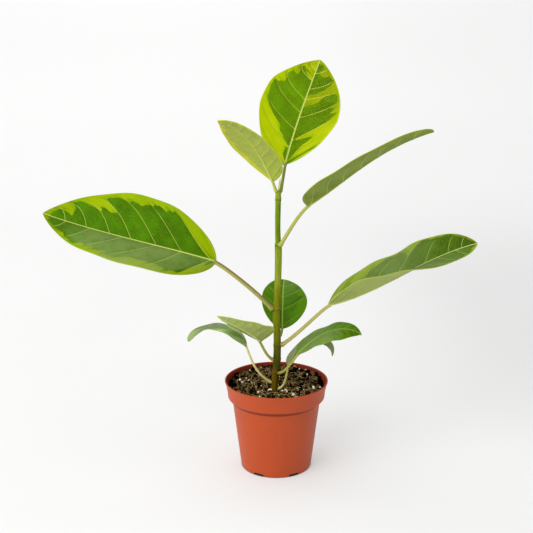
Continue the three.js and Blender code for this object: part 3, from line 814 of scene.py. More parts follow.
def pot_surface(sectors):
    """Section of the wall, cut into short steps and turned round the middle; in the notches the
    low points of the foot are lifted to one height, with a short slope at both sides."""
    corners = np.array([(0, POT_UNDERSIDE), *POT_OUTSIDE, *POT_INSIDE, (0, POT_FLOOR)])
    parts = []
    for before, after in zip(corners[:-1], corners[1:]):
        count = max(1, int(np.hypot(*(after - before)) / POT_STEP))
        parts.append(before + (after - before) * (np.arange(1, count + 1) / count)[:, None])
    section = np.vstack(parts)[:-1]
    turn = circle(sectors)
    radius, height = section[:, :1], section[:, 1:]
    rings = np.stack([radius * np.cos(turn), radius * np.sin(turn), height + 0 * turn], -1)
    middle = ((np.arange(NOTCHES) + 0.5) * 2 * np.pi / NOTCHES - np.pi / 2)[:, None]
    off = abs((turn[None] - middle + np.pi) % (2 * np.pi) - np.pi) * FOOT_RADIUS
    edge = NOTCH_WIDTH / 2 + NOTCH_SLOPE / 2
    arch = np.clip((edge - off.min(0)) / NOTCH_SLOPE, 0, 1)[None]
    low = (radius > NOTCH_INNER_RADIUS - 0.5) & (rings[..., 2] < NOTCH_HEIGHT)
    rings[..., 2] += np.where(low, (NOTCH_HEIGHT - rings[..., 2]) * arch, 0)
    return closed(rings, (0, 0, POT_UNDERSIDE), (0, 0, POT_FLOOR))


def pot_look(settings):
    """Moulded wall: fine even grain, faint clouding, a painted shade on the inside above the mix,
    and a painted shadow in the crease under the collar.
    """
    board = Board("terracotta_moulding")
    place = board.place()
    x, y, z = board.axes(place)
    radius = (x * x + y * y) ** 0.5
    wall_radius = 0.0494 + (z - 0.0755).smooth(0, 0.017) * 0.0022
    # Painted shade: the inside wall above the mix takes the darker inner colour in place of the
    # shade that falls there.
    inside = (wall_radius - radius - 0.0004).smooth(0, 0.0003) * (z - 0.0712).smooth(0, 0.0008)
    # Painted shadow: a dark band in the crease under the collar, where the collar shades the body;
    # the same band is made rough.
    shadowed_crease = 1 - abs(z - 0.0716).smooth(0.0005, 0.002)
    colour = board.layers(
        settings.wall,
        (board.noise(place, 38, 4).smooth(0.3, 0.7) * 0.35, scaled(settings.wall, 0.86)),
        (board.noise(place, 210, 5).smooth(0.62, 0.86) * 0.16, rgb(214, 132, 96)),
        (shadowed_crease * 0.6, scaled(settings.wall, 0.5, 0.42, 0.3)),
        (inside, settings.inner_shade),
    )
    grain = board.noise(place, 2600, 2)
    swirl = board.noise(board.vector(x * 0.2, y * 0.2, z * 5), 260, 2)
    normal = board.bump(grain * 0.5 + swirl * 0.5, 0.00012, 0.35)
    rough = board.noise(place, 90, 3) * 0.12 + (settings.roughness - 0.05)
    return board.finish(colour, rough.or_more(shadowed_crease), normal, Specular_IOR_Level=0.32)


class FIG_OT_pot(bpy.types.Operator):
    """Turns the thin moulded pot with its collar, lip and foot notches."""

    bl_idname = "fig.pot"
    bl_label = "Pot"

    def execute(self, context):
        settings = context.scene.fig_pot
        piece = add_mesh("plant_pot", *pot_surface(settings.sectors), [pot_look(settings)])
        settle(piece, ["pot"])
        return {"FINISHED"}


# --- Mix


def soil_height(x, y):
    """Level of the mix: it rises to the back, heaps up left and right of it along the wall, dips
    round the stem, and carries low broad lumps."""
    dip = SOIL_DIP * hump(np.hypot(x - STEM_LINE[0][0], y), SOIL_DIP_RADIUS)
    broad = np.sin(x / 5.1 + 1.3) * np.cos(y / 4.3)
    small = 0.6 * np.sin((x + y) / 3.1) + 0.45 * np.cos((x - 1.7 * y) / 2.6)
    back = y / COLLAR_RADIUS
    slope = SOIL_BACK_RISE * back + SOIL_BACK_HEAP * np.maximum(0, back) ** 2
    from_heap = np.hypot(np.abs(x) - SOIL_HEAP_PLACE[0], y - SOIL_HEAP_PLACE[1])
    heap = SOIL_HEAP * hump(from_heap, SOIL_HEAP_RADIUS)
    return SOIL_LEVEL + slope + heap - dip + SOIL_LUMP * (broad + small)


def soil_lumps(x, y):
    """Clods and crumbs of the mix in millimetres: two lattices of soft noise."""
    clods = 2.8 * (lattice(x + 90, y + 90, 4.4, 11) - 0.5)
    crumbs = 2.2 * (lattice(x + 70, y + 80, 1.9, 12) - 0.5)
    return clods + crumbs


def soil_relief(x, y):
    """Level with the clods and crumbs and fine grit on top of it."""
    grit = 0.9 * (lattice(x + 60, y + 75, 0.8, 13) - 0.5)
    return soil_height(x, y) + soil_lumps(x, y) + grit


def soil_raised(x, y):
    """How high a place stands among the clods, from 0 in the gaps and along the wall to 1 on tops;
    where it is low, the look paints shade."""
    reach, fade = 47, 3
    wall = np.clip((reach - np.hypot(x, y)) / fade, 0, 1)
    return np.clip(0.5 + soil_lumps(x, y) / 3.4, 0, 1) * wall


def soil_surface(sectors=264, rings=92):
    """Polar grid over the mix: up the wall from the floor, then radius from the wall to the
    stem."""
    near_wall, at_stem = 49.8, 1.5
    turn = circle(sectors)
    out = np.linspace(1, 0, rings)[:, None]
    height = soil_height(np.cos(turn) * near_wall, np.sin(turn) * near_wall)
    level = between(sorted((z, r) for r, z in POT_INSIDE), height) - SOIL_GAP
    radius = at_stem + (level - at_stem) * out
    x = radius * np.cos(turn) + STEM_LINE[0][0] * (1 - out)
    y = radius * np.sin(turn)
    top = np.stack([x, y, soil_relief(x, y)], -1)
    low = [(r, z) for r, z in POT_INSIDE if z < SOIL_LEVEL - 5]
    r, z = (np.array(low[::-1][1:]) + (-SOIL_GAP, SOIL_GAP)).T[..., None]
    side = np.stack([r * np.cos(turn), r * np.sin(turn), z + 0 * turn], -1)
    middle = (STEM_LINE[0][0], 0, SOIL_LEVEL - SOIL_DIP)
    return closed(np.concatenate([side, top]), (0, 0, z[0, 0]), middle)


def scatter(random, count, reach, keep=4.4):
    """Places spread evenly over the mix, clear of the stem."""
    radius = np.sqrt(random.random(count) * (reach**2 - keep**2) + keep**2)
    turn = random.random(count) * 2 * np.pi
    x = radius * np.cos(turn) + STEM_LINE[0][0] * (1 - radius / reach)
    return x, radius * np.sin(turn)


def about(axis, angle):
    """Matrices that turn by angles about the axis with a number."""
    first, second = [(1, 2), (2, 0), (0, 1)][axis]
    turn = np.tile(np.eye(3), (len(angle), 1, 1))
    turn[:, first, first] = turn[:, second, second] = np.cos(angle)
    turn[:, second, first] = np.sin(angle)
    turn[:, first, second] = -np.sin(angle)
    return turn


def lumps(random, centres, sizes, rows=6, columns=8, rough=0.28):
    """Closed lumps: spheres on a grid of two angles, pulled out of round, squashed and turned."""
    count = len(centres)
    polar = np.linspace(0, np.pi, rows + 1)[1:-1][:, None]
    turn = circle(columns)[None]
    x, y = np.sin(polar) * np.cos(turn), np.sin(polar) * np.sin(turn)
    ball = np.stack([x, y, np.cos(polar) + 0 * turn], -1)
    ball = np.vstack([ball.reshape(-1, 3), [[0, 0, 1]], [[0, 0, -1]]])
    pull = 1 + rough * (random.random((count, len(ball), 1)) * 2 - 1)
    stretch = 0.65 + 0.7 * random.random((count, 1, 3))
    spin = random.random((count, 3)) * 2 * np.pi
    turned = about(2, spin[:, 0]), about(0, spin[:, 1])
    shape = np.einsum("nij,njk,npk->npi", *turned, ball[None] * pull * stretch)
    points = shape * np.asarray(sizes)[:, None, None] + np.asarray(centres)[:, None]
    inner = rows - 1
    quads = grid_quads(inner, columns, wrap=True)[:, ::-1]
    first = np.arange(columns)
    last = first + (inner - 1) * columns
    ends = fan(first, inner * columns), fan(last, inner * columns + 1, turned=True)
    return points.reshape(-1, 3), copies(count, len(ball), [quads, *ends])


def strands(random, starts, lengths, radii, bend=0.5, steps=7, sides=4):
    """Closed thin strands: each runs over the mix on a heading that turns evenly, arches up by half
    a sine, and thins to its ends."""
    count = len(starts)
    s = np.linspace(0, 1, steps)[None]
    heading = random.random((count, 1)) * 2 * np.pi
    heading = heading + bend * (random.random((count, 1)) - 0.5) * 6 * s
    step = lengths[:, None] / (steps - 1)
    x = starts[:, :1] + np.cumsum(np.cos(heading) * step, 1)
    y = starts[:, 1:] + np.cumsum(np.sin(heading) * step, 1)
    room = LOOSE_REACH / np.maximum(np.hypot(x, y), LOOSE_REACH)
    x, y = x * room, y * room
    arch = radii[:, None] + 0.9 * random.random((count, 1)) * np.sin(np.pi * s)
    z = soil_relief(x, y) + arch + 0.15
    z = (z + np.roll(z, 1, 1) + np.roll(z, -1, 1)) / 3
    z[:, 0], z[:, -1] = z[:, 1] - 0.2, z[:, -2] - 0.2
    path = np.stack([x, y, z], -1)
    way = unit(np.gradient(path, axis=1))
    across = unit(np.cross(way, [0, 0, 1.0]))
    other = np.cross(across, way)
    turn = circle(sides)[:, None]
    ring = other[:, :, None] * np.cos(turn) - across[:, :, None] * np.sin(turn)
    taper = radii[:, None] * (0.35 + 0.65 * np.sin(np.pi * np.clip(s, 0.02, 0.98)) ** 0.5)
    points = path[:, :, None] + ring * taper[:, :, None, None]
    quads = grid_quads(steps, sides, wrap=True)[:, ::-1]
    first = np.arange(sides)[None]
    last = (first + (steps - 1) * sides)[:, ::-1]
    return points.reshape(-1, 3), copies(count, steps * sides, [quads, first, last])


def rootlet_surface():
    """Thin tube on most of a leaning ring, whose ends dip into the mix."""
    turn = np.linspace(-0.35 * np.pi, 1.3 * np.pi, 40)
    x, y = ROOTLET_PLACE
    z = soil_relief(x, y) + ROOTLET_RADIUS * 0.8
    ring = ROOTLET_RADIUS * (1 + 0.12 * np.sin(2 * turn))
    rise = ring * np.sin(turn)
    path = np.stack([x + ring * np.cos(turn), y + 0.35 * rise, z + rise], -1)
    return tube(path, ROOTLET_THICKNESS + 0 * turn, 8)


def mix_look(name, damp, dry, scale, share=(0.45, 0.75), raised=False):
    """Peaty surface: damp and dry patches, a fine broken grain, and a painted shade, near black, in
    the gaps where it lies low."""
    board = Board(name)
    place = board.place()
    patch = board.noise(place, scale, 4, 0.65)
    if raised:
        (level,) = board.attributes("raised")
        patch = patch * 0.35 + level * 0.65
    fleck = board.noise(place, scale * 6, 3, 0.7).smooth(0.5, 0.72)
    colour = board.layers(damp, (patch.smooth(*share), dry), (fleck * 0.45, scaled(dry, 2)))
    if raised:
        # Painted shade: low places among the clods, and the mix along the wall, are darkened nearly
        # to black.
        gap = 1 - level.smooth(0.28, 0.6)
        colour = board.mix(gap * 0.96, colour, scaled(damp, 0.1))
    normal = board.bump(board.noise(place, scale * 5, 5, 0.7), 0.0006, 0.8)
    return board.finish(colour, 0.92, normal, Specular_IOR_Level=0.1)


def perlite_look(settings):
    """Puffed grains: chalky, pitted and slightly stained by the mix."""
    board = Board("perlite")
    place = board.place()
    stain = board.noise(place, 420, 3).smooth(0.5, 0.8)
    colour = board.mix(stain * 0.6, settings.perlite, rgb(176, 150, 112))
    normal = board.bump(board.noise(place, 2200, 3, 0.7), 0.0003, 0.7)
    return board.finish(colour, 0.85, normal, Specular_IOR_Level=0.3)


def add_crumbs(random, settings):
    """Loose crumbs, mostly small, that sink a little into the mix; each has a random tone, and
    those that lie low take a painted shade while high ones are paler.
    """
    x, y = scatter(random, settings.crumbs, LOOSE_REACH)
    sizes = 0.32 + 1.15 * random.random(settings.crumbs) ** 2.4
    room = CRUMB_REACH / np.maximum(np.hypot(x, y) + sizes, CRUMB_REACH)
    x, y = x * room, y * room
    centres = np.stack([x, y, soil_relief(x, y) + sizes * 0.25], -1)
    look = mix_look("dry_crumbs", settings.mix, settings.crumb, 330, (0.5, 0.66), raised=True)
    points, faces = lumps(random, centres, sizes, rough=0.45)
    # Each crumb's shade: a random tone, plus a painted shade where it lies low among the clods or
    # by the wall.
    shade = 0.4 * soil_raised(x, y) + 0.9 * random.random(len(x)) ** 1.5 - 0.06
    piece = add_mesh("mix_crumbs", points, faces, [look])
    add_point_values(piece, "raised", faces, np.repeat(shade, len(points) // len(x)))
    settle(piece, [])


def add_grains(random, settings):
    """White grains on the mix: small ones scattered over it, and the large ones of the list."""
    x, y = scatter(random, settings.grains, 45)
    sizes = 0.3 + 0.45 * random.random(settings.grains)
    small = np.stack([x, y, sizes], -1)
    x, y, sizes = np.vstack([small, PERLITE_GRAINS]).T
    centres = np.stack([x, y, soil_relief(x, y) + sizes * 1.05], -1)
    surface = lumps(random, centres, sizes, 10, 14, 0.14)
    settle(add_mesh("perlite_grains", *surface, [perlite_look(settings)]), [])


def add_fibres(random, settings):
    """Fibres of many lengths and thicknesses that lie on the mix."""
    starts = np.stack(scatter(random, settings.fibres, 44), -1)
    lengths = 3 + 9 * random.random(settings.fibres)
    radii = 0.1 + 0.2 * random.random(settings.fibres) ** 1.5
    damp = scaled(settings.fibre, 0.3)
    look = mix_look("dry_fibres", damp, settings.fibre, 160, (0.42, 0.6))
    surface = strands(random, starts, lengths, radii)
    settle(add_mesh("mix_fibres", *surface, [look]), [])


class FIG_OT_mix(bpy.types.Operator):
    """Fills the pot with peaty mix, crumbs, white grains, fibres and one curled rootlet."""

    bl_idname = "fig.mix"
    bl_label = "Potting mix"

    def execute(self, context):
        settings = context.scene.fig_soil
        ground = mix_look("peat", settings.mix, settings.crumb, 260, (0.54, 0.72), raised=True)
        points, faces = soil_surface()
        piece = add_mesh("potting_mix", points, faces, [ground])
        add_point_values(piece, "raised", faces, soil_raised(points[:, 0], points[:, 1]))
        settle(piece, ["soil"])

        random = np.random.default_rng(7)
        add_crumbs(random, settings)
        add_grains(random, settings)
        add_fibres(random, settings)

        pale = mix_look("pale_rootlet", rgb(176, 158, 128), rgb(206, 190, 160), 300)
        settle(add_mesh("curled_rootlet", *rootlet_surface(), [pale]), [])
        return {"FINISHED"}


# --- Stem


def stem_x(height):
    """x of the stem's middle line at a height."""
    return eased([(z, x) for x, z in STEM_LINE], height)


def stem_radius(height):
    """Taper of the stem with a soft swelling at each ring."""
    height = np.asarray(height, float)
    swell = sum(hump(height - node, NODE_LENGTH) for node in STEM_NODES)
    return between(STEM_RADII, height) + NODE_SWELL * swell


def stem_surface(sides):
    """Rings of points up the stem line: taper and swellings, a groove and a lip at each leaf ring,
    shallow flutes along it, and a rounded tip."""
    height = np.linspace(STEM_FOOT, STEM_TOP - 0.6, STEM_ROWS)
    radius = stem_radius(height)
    for node in STEM_NODES:
        radius = radius + NODE_LIP * hump(height - node - 0.9, 0.45)
        radius = radius - NODE_GROOVE * hump(height - node, 0.35)
    turn = circle(sides)[None]
    height = height[:, None]
    flute = 0.05 * np.sin(5 * turn + height * 0.02) + 0.03 * np.sin(9 * turn - height * 0.05)
    beyond = ((height - (STEM_TOP - CAP_LENGTH)) / CAP_LENGTH).clip(0, 1)
    cap = np.sqrt(np.clip(1 - beyond**2, 0.09, 1))
    around = (radius[:, None] + flute) * cap
    x = stem_x(height) + around * np.cos(turn)
    rings = np.stack([x, around * np.sin(turn), height + 0 * turn], -1)
    return closed(rings, (stem_x(STEM_FOOT), 0, STEM_FOOT), (stem_x(STEM_TOP - 0.2), 0, STEM_TOP))


def stem_look(settings):
    """Young bark: brown at the mix, olive and golden above it and green at the top, with brown
    rings, pale corky dashes that run lengthwise, and a painted shade on its right side low down."""
    board = Board("young_bark")
    x, y, z = board.axes(board.place())
    drift = board.noise(board.vector(x, y, z * 0.25), 240, 3) * 0.012 - 0.006
    level, wavy = z + drift, z + drift * 2
    above_mix = level.smooth(0.101, 0.111)
    stripe = (1 - x.smooth(-0.0012, 0.001)) * z.smooth(0.112, 0.118) * (1 - z.smooth(0.13, 0.135))
    ripe = wavy.smooth(0.18, 0.2) * (1 - level.smooth(0.225, 0.238))
    streaks = board.noise(board.vector(x, y, z * 0.05), 900, 3, 0.7)
    cork = board.noise(board.vector(x, y, z * 0.35), 1300, 2, 0.5).smooth(0.66, 0.74)
    rings = None
    for node in STEM_NODES:
        ring = 1 - abs(z + drift * 0.06 - node * MM).smooth(0.0002, 0.0009)
        rings = rings.or_more(ring) if rings else ring
    colour = board.layers(
        rgb(100, 82, 5),
        (above_mix, settings.foot),
        (stripe * 0.5, rgb(52, 62, 2)),
        # Painted shade: the right side of the stem just above the mix is darkened, for the shade
        # from the light on the left and the stalks.
        (x.smooth(-0.0008, 0.0022) * (1 - above_mix) * 0.65, rgb(40, 30, 6)),
        (level.smooth(0.106, 0.16), settings.middle),
        (wavy.smooth(0.185, 0.25), settings.tip),
        (ripe * 0.55, rgb(152, 168, 52)),
        (level.smooth(0.272, 0.285) * 0.6, rgb(160, 172, 60)),
        (streaks.smooth(0.45, 0.72) * 0.5, scaled(settings.foot, 0.5)),
        (cork * 0.5 * (1 - z.smooth(0.2, 0.26)), rgb(176, 160, 84)),
        (rings * 0.75, settings.scar),
    )
    normal = board.bump(streaks + cork * 0.8, 0.0002, 0.6)
    return board.finish(colour, 0.5, normal, Specular_IOR_Level=0.1)


def sheath_surface():
    """Slender sheath: rings that shrink along a leaning line, with low ridges that twist round
    it."""
    s = np.linspace(0, 1, BUD_ROWS)
    share = eased([(0, 0.9), (0.25, 1), (0.55, 0.75), (0.85, 0.4), (1, 0.12)], s)
    base = np.array([stem_x(STEM_TOP) + BUD_OFFSET[0], BUD_OFFSET[1], STEM_TOP + SOIL_GAP])
    path = base + np.stack([BUD_LEAN * s**2, -0.4 * s, BUD_LENGTH * s], -1)
    points, faces = tube(path, BUD_RADIUS * share, BUD_SIDES)
    ridge = 1 + 0.05 * np.cos(4 * (circle(BUD_SIDES) + 2.2 * s[:, None]))
    rings = points[:-2].reshape(BUD_ROWS, BUD_SIDES, 3)
    rings = path[:, None] + (rings - path[:, None]) * ridge[..., None]
    return np.vstack([rings.reshape(-1, 3), points[-2:]]), faces


def sheath_look(settings):
    """Papery sheath: pale, with fine lengthwise lines and a greener foot."""
    board = Board("bud_sheath")
    x, y, z = board.axes(board.place())
    lines = board.noise(board.vector(x, y, z * 0.08), 2400, 2)
    colour = board.mix(lines.smooth(0.4, 0.7) * 0.4, settings.sheath, rgb(188, 194, 92))
    colour = board.mix(z.smooth(0.2885, 0.292), rgb(150, 168, 60), colour)
    return board.finish(colour, 0.5, board.bump(lines, 0.0001, 0.5), Specular_IOR_Level=0.35)


class FIG_OT_stem(bpy.types.Operator):
    """Draws the stem with its leaf rings, and the pale sheath at its tip."""

    bl_idname = "fig.stem"
    bl_label = "Stem"

    def execute(self, context):
        settings = context.scene.fig_stem
        piece = add_mesh("fig_stem", *stem_surface(settings.sides), [stem_look(settings)])
        settle(piece, ["stem"])
        piece = add_mesh("bud_sheath", *sheath_surface(), [sheath_look(settings)])
        settle(piece, ["terminal_bud"])
        return {"FINISHED"}


# --- Leaves


def blade_outline(leaf, s):
    """Half-width as a share: a power of a sine whose phase is skewed to put the widest place
    right."""
    skew = np.log(0.5) / np.log(leaf["widest"])
    base, tip = leaf["ends"]
    return np.clip(np.sin(np.pi * s**skew), 0, None) ** (base + (tip - base) * s)


def midrib_frames(leaf, s):
    """Points on the midrib, the way across to the right and the way out of the upper face.

    The point is the base plus the sum of short steps along heading and rise."""
    fine = np.linspace(0, 1, 4001)
    middle = (fine[1:] + fine[:-1]) / 2
    step = direction(along(leaf["heading"], middle), along(leaf["rise"], middle))
    line = np.vstack([[0, 0, 0], np.cumsum(step * leaf["length"] / 4000, 0)]) + leaf["base"]
    point = np.stack([np.interp(s, fine, line[:, k]) for k in range(3)], -1)
    heading, roll = along(leaf["heading"], s), np.radians(along(leaf["roll"], s))[:, None]
    side = direction(heading - 90, 0 * s)
    up = np.cross(side, direction(heading, along(leaf["rise"], s)))
    across = side * np.cos(roll) + up * np.sin(roll)
    out = up * np.cos(roll) - side * np.sin(roll)
    return point, across, out


def half_width(leaf, side, s):
    """Width of a half in millimetres: its outline, or what the rib needs near the ends."""
    least = leaf["petiole"]["radius"][1] * (1 - s) + TIP_HALF_WIDTH * s
    return np.maximum(leaf[side]["width"] * blade_outline(leaf, s), least)


def blade_face(leaf, s, v):
    """Upper face: from the midrib each half leaves at its fold and bends on by its curl, as an
    arc, and ripples by a sine that grows to the margin."""
    point, across, out = midrib_frames(leaf, s)
    grid = np.zeros((len(s), len(v), 3))
    for side, sign, chosen, phase in (("left", -1, v < 0, 0), ("right", 1, v >= 0, 0.25)):
        reach = abs(v[chosen])[None]
        width = half_width(leaf, side, s)[:, None]
        fold = np.radians(along(leaf[side]["fold"], s))[:, None]
        curl = math.radians(leaf[side]["curl"]) or 1e-4
        outward = width / curl * (np.sin(fold + curl * reach) - np.sin(fold))
        upward = width / curl * (np.cos(fold) - np.cos(fold + curl * reach))
        ripple = np.sin(2 * np.pi * (3.5 * s + phase))[:, None]
        upward = upward + leaf["wave"] * reach**2 * blade_outline(leaf, s)[:, None] * ripple
        sideways = across[:, None] * (sign * outward)[..., None]
        grid[:, chosen] = point[:, None] + sideways + out[:, None] * upward[..., None]
    return grid


def vein_place(half, s, reach):
    """Place on the midrib of the side vein that would pass through a point, found by stepping back
    along the veins' sweep until it settles."""
    place = s + 0 * reach
    for _ in range(24):
        sweep = between(half["veins"], place)
        place = 0.5 * place + 0.5 * (s - sweep * (0.7 * reach + 0.3 * reach**3))
    return place


def vein_phase(half, place):
    """Counts the side veins: a whole number on each, and straight between them."""
    starts = [start for start, _ in half["veins"]]
    first, last = starts[1] - starts[0], starts[-1] - starts[-2]
    before = [starts[0] - 2 * first, starts[0] - first]
    starts = before + starts + [starts[-1] + last, starts[-1] + 2 * last]
    return np.interp(place, starts, np.arange(len(starts)) - 2.0)


def heart_depth(half, leaf, width, place, reach):
    """Distance in millimetres to the edge of the green heart, positive inside it.

    The heart lies nearer the midrib than its edge and beyond the edge of what is bare."""
    x, y = place * leaf["length"], reach * half["width"]
    nearest = np.full(place.shape, 1e3)
    inside = np.ones(place.shape, bool)
    for key, sign, least in (("heart", 1, 0), ("bare", -1, -1e-9)):
        inside &= (between(half[key], place) - reach) * sign > least
        corners = np.array(half[key]) * (leaf["length"], half["width"])
        for (x0, y0), (x1, y1) in zip(corners[:-1], corners[1:]):
            if y0 == 0 and y1 == 0:
                continue
            dx, dy = x1 - x0, y1 - y0
            u = np.clip(((x - x0) * dx + (y - y0) * dy) / (dx * dx + dy * dy), 0, 1)
            nearest = np.minimum(nearest, np.hypot(x - x0 - u * dx, y - y0 - u * dy))
    return np.where(inside, nearest, -nearest) * (width / half["width"]).clip(0.25, 1)


def painted_sheen_share(half, place, reach):
    """Share of the painted grey sheen on a half, which fades where the reach passes its limit."""
    places, shares, limits = np.transpose(half["bloom"])
    share, limit = np.interp(place, places, shares), np.interp(place, places, limits)
    return share * np.clip((limit - reach) / 0.16 + 0.5, 0, 1)


def half_values(leaf, side, s, reach):
    """Numbers that shape and colour a half, on its grid: the count of its side veins and the gap
    between them, the depth in the green heart, places off and along the midrib, and the factors of
    tone, painted light and shade, and painted sheen."""
    half = leaf[side]
    width = half_width(leaf, side, s)[:, None] + 0 * reach
    place = vein_place(half, s[:, None], reach)
    phase = vein_phase(half, place)
    along_rows = np.gradient(phase, s, axis=0) / leaf["length"]
    slope = between(half["veins"], place) * (0.7 + 0.9 * reach**2) * leaf["length"] / width
    return {
        "phase": phase,
        "gap": 1 / np.maximum(along_rows * np.sqrt(1 + slope**2), 1e-3),
        "heart": heart_depth(half, leaf, width, place, reach),
        "off": reach * width,
        "across": reach,
        "along": s[:, None] + 0 * reach,
        "tone": between(half["tone"], place),
        "shade": between(half["shade"], place),
        "bloom": painted_sheen_share(half, place, reach),
    }


def blade_columns(count):
    """Places across a blade, closer together at the midrib and at the margin."""
    u = np.linspace(0, 1, count + 1)
    side = 0.55 * u + 0.45 * u**2.2
    side = side - 0.012 * np.sin(2 * np.pi * side)
    side[-2] = 1 - (1 - side[-2]) * 0.35
    return np.concatenate([-side[:0:-1], side])


def rim(edge, block, turned):
    """Quads from an edge of the upper face to the same edge of the under face."""
    a, b = edge[:-1], edge[1:]
    corners = [a, a + block, b + block, b] if turned else [a, b, b + block, a + block]
    return np.stack(corners, -1)


def blade_surface(leaf, settings):
    """Upper and under faces of a blade with a joined rim.

    Upper: the blade's face, sunk at the veins and raised between them, with a slim ridge on the
    midrib. Under: one thickness below, thinner at the margin, with a round rib under the midrib
    and low cords under the side veins."""
    rows = max(90, int(settings.rows * min(1, leaf["length"] / 150)))
    even = np.linspace(0, 1, rows + 1)
    s = 0.4 * even + 0.6 * (1 - np.cos(np.pi * even)) / 2
    v = blade_columns(settings.columns if leaf["length"] > 90 else int(settings.columns * 0.75))
    face = blade_face(leaf, s, v)
    normal = unit(np.cross(np.gradient(face, axis=1), np.gradient(face, axis=0)))
    reach = abs(v)[None] + 0 * s[:, None]
    left, right = (half_values(leaf, side, s, reach) for side in ("left", "right"))
    phase, gap, off = (np.where(v < 0, left[key], right[key]) for key in ("phase", "gap", "off"))
    s = s[:, None]

    near = abs((phase + 0.5) % 1 - 0.5) * gap
    fade = np.clip((1 - reach) / 0.14, 0, 1) * np.clip(np.sin(np.pi * s) * 3, 0, 1)
    size = min(1, leaf["length"] / 120)
    quilt = settings.quilt * size * (0.5 - 1.3 * hump(near, 1.7)) * fade * (1 - hump(off, 3))
    ridge = RIDGE_HEIGHT * size * hump(off, 0.9 * size + 0.2)
    ridge = (ridge - RIDGE_GROOVE * size * hump(off, 2.6)) * np.clip(1.05 - s, 0, 1)
    upper = face + normal * (quilt + ridge)[..., None]

    margin = np.clip((1 - reach) / 0.2, 0, 1) ** 0.5
    thick = MARGIN_THICKNESS + (BLADE_THICKNESS - MARGIN_THICKNESS) * margin
    rib = RIB_DEPTH[0] + (RIB_DEPTH[1] - RIB_DEPTH[0]) * s - BLADE_THICKNESS
    rib = rib * hump(off, 1.35 - 0.5 * s)
    cord = CORD_DEPTH * size * hump(near, 0.75) * fade
    lower = face + normal * (quilt * 0.8 - thick - rib - cord)[..., None]

    columns = len(v)
    block = (rows + 1) * columns
    top = grid_quads(rows + 1, columns)
    edge_rows, edge_columns = np.arange(rows + 1) * columns, np.arange(columns)
    quads = np.vstack([
        top,
        top[:, ::-1] + block,
        rim(edge_rows, block, turned=False),
        rim(edge_rows + columns - 1, block, turned=True),
        rim(edge_columns, block, turned=True),
        rim(edge_columns + rows * columns, block, turned=False),
    ])
    which = quads % block
    on_right = (which % columns).max(1)[:, None] > (columns - 1) // 2
    corner = {
        key: np.where(on_right, right[key].reshape(-1)[which], left[key].reshape(-1)[which])
        for key in left
    }
    corner["under"] = quads >= block
    return np.vstack([upper.reshape(-1, 3), lower.reshape(-1, 3)]), quads, corner


def petiole_surface(leaf):
    """Tapered tube on a curve from inside the stem to inside the blade's rib, flared at its
    foot."""
    stalk = leaf["petiole"]
    radius = stalk["radius"]
    join, _, out = (part[0] for part in midrib_frames(leaf, np.array([0.0, 1.0])))
    leave = direction(stalk["heading"], stalk["rise"])
    arrive = direction(leaf["heading"][0], leaf["rise"][0])
    seat = np.array([stem_x(stalk["height"]), 0, stalk["height"]])
    seat = seat + direction(stalk["heading"], 0) * stem_radius(stalk["height"]) * 0.8
    end = join - out * PETIOLE_SINK * radius[1] + arrive * PETIOLE_REACH
    first = seat + leave * stalk["pull"][0]
    last = end - arrive * (stalk["pull"][1] + PETIOLE_REACH)
    u = np.linspace(0, 1, 400)[:, None]
    line = seat * (1 - u) ** 3 + 3 * first * u * (1 - u) ** 2 + 3 * last * u**2 * (1 - u)
    line = line + end * u**3
    run = np.append(0, np.cumsum(np.linalg.norm(np.diff(line, axis=0), axis=1)))
    even = np.linspace(0, run[-1], max(24, int(run[-1] / PETIOLE_STEP)))
    path = np.stack([np.interp(even, run, line[:, k]) for k in range(3)], -1)
    flare = PETIOLE_FLARE * hump(even, PETIOLE_FLARE_LENGTH)
    taper = radius[0] + (radius[1] - radius[0]) * even / run[-1]
    radii = taper * (1 + flare) * (1 - 0.42 * hump(even, 1.3))
    radii[-1] *= 0.6
    return *tube(path, radii, PETIOLE_SIDES), even / run[-1]


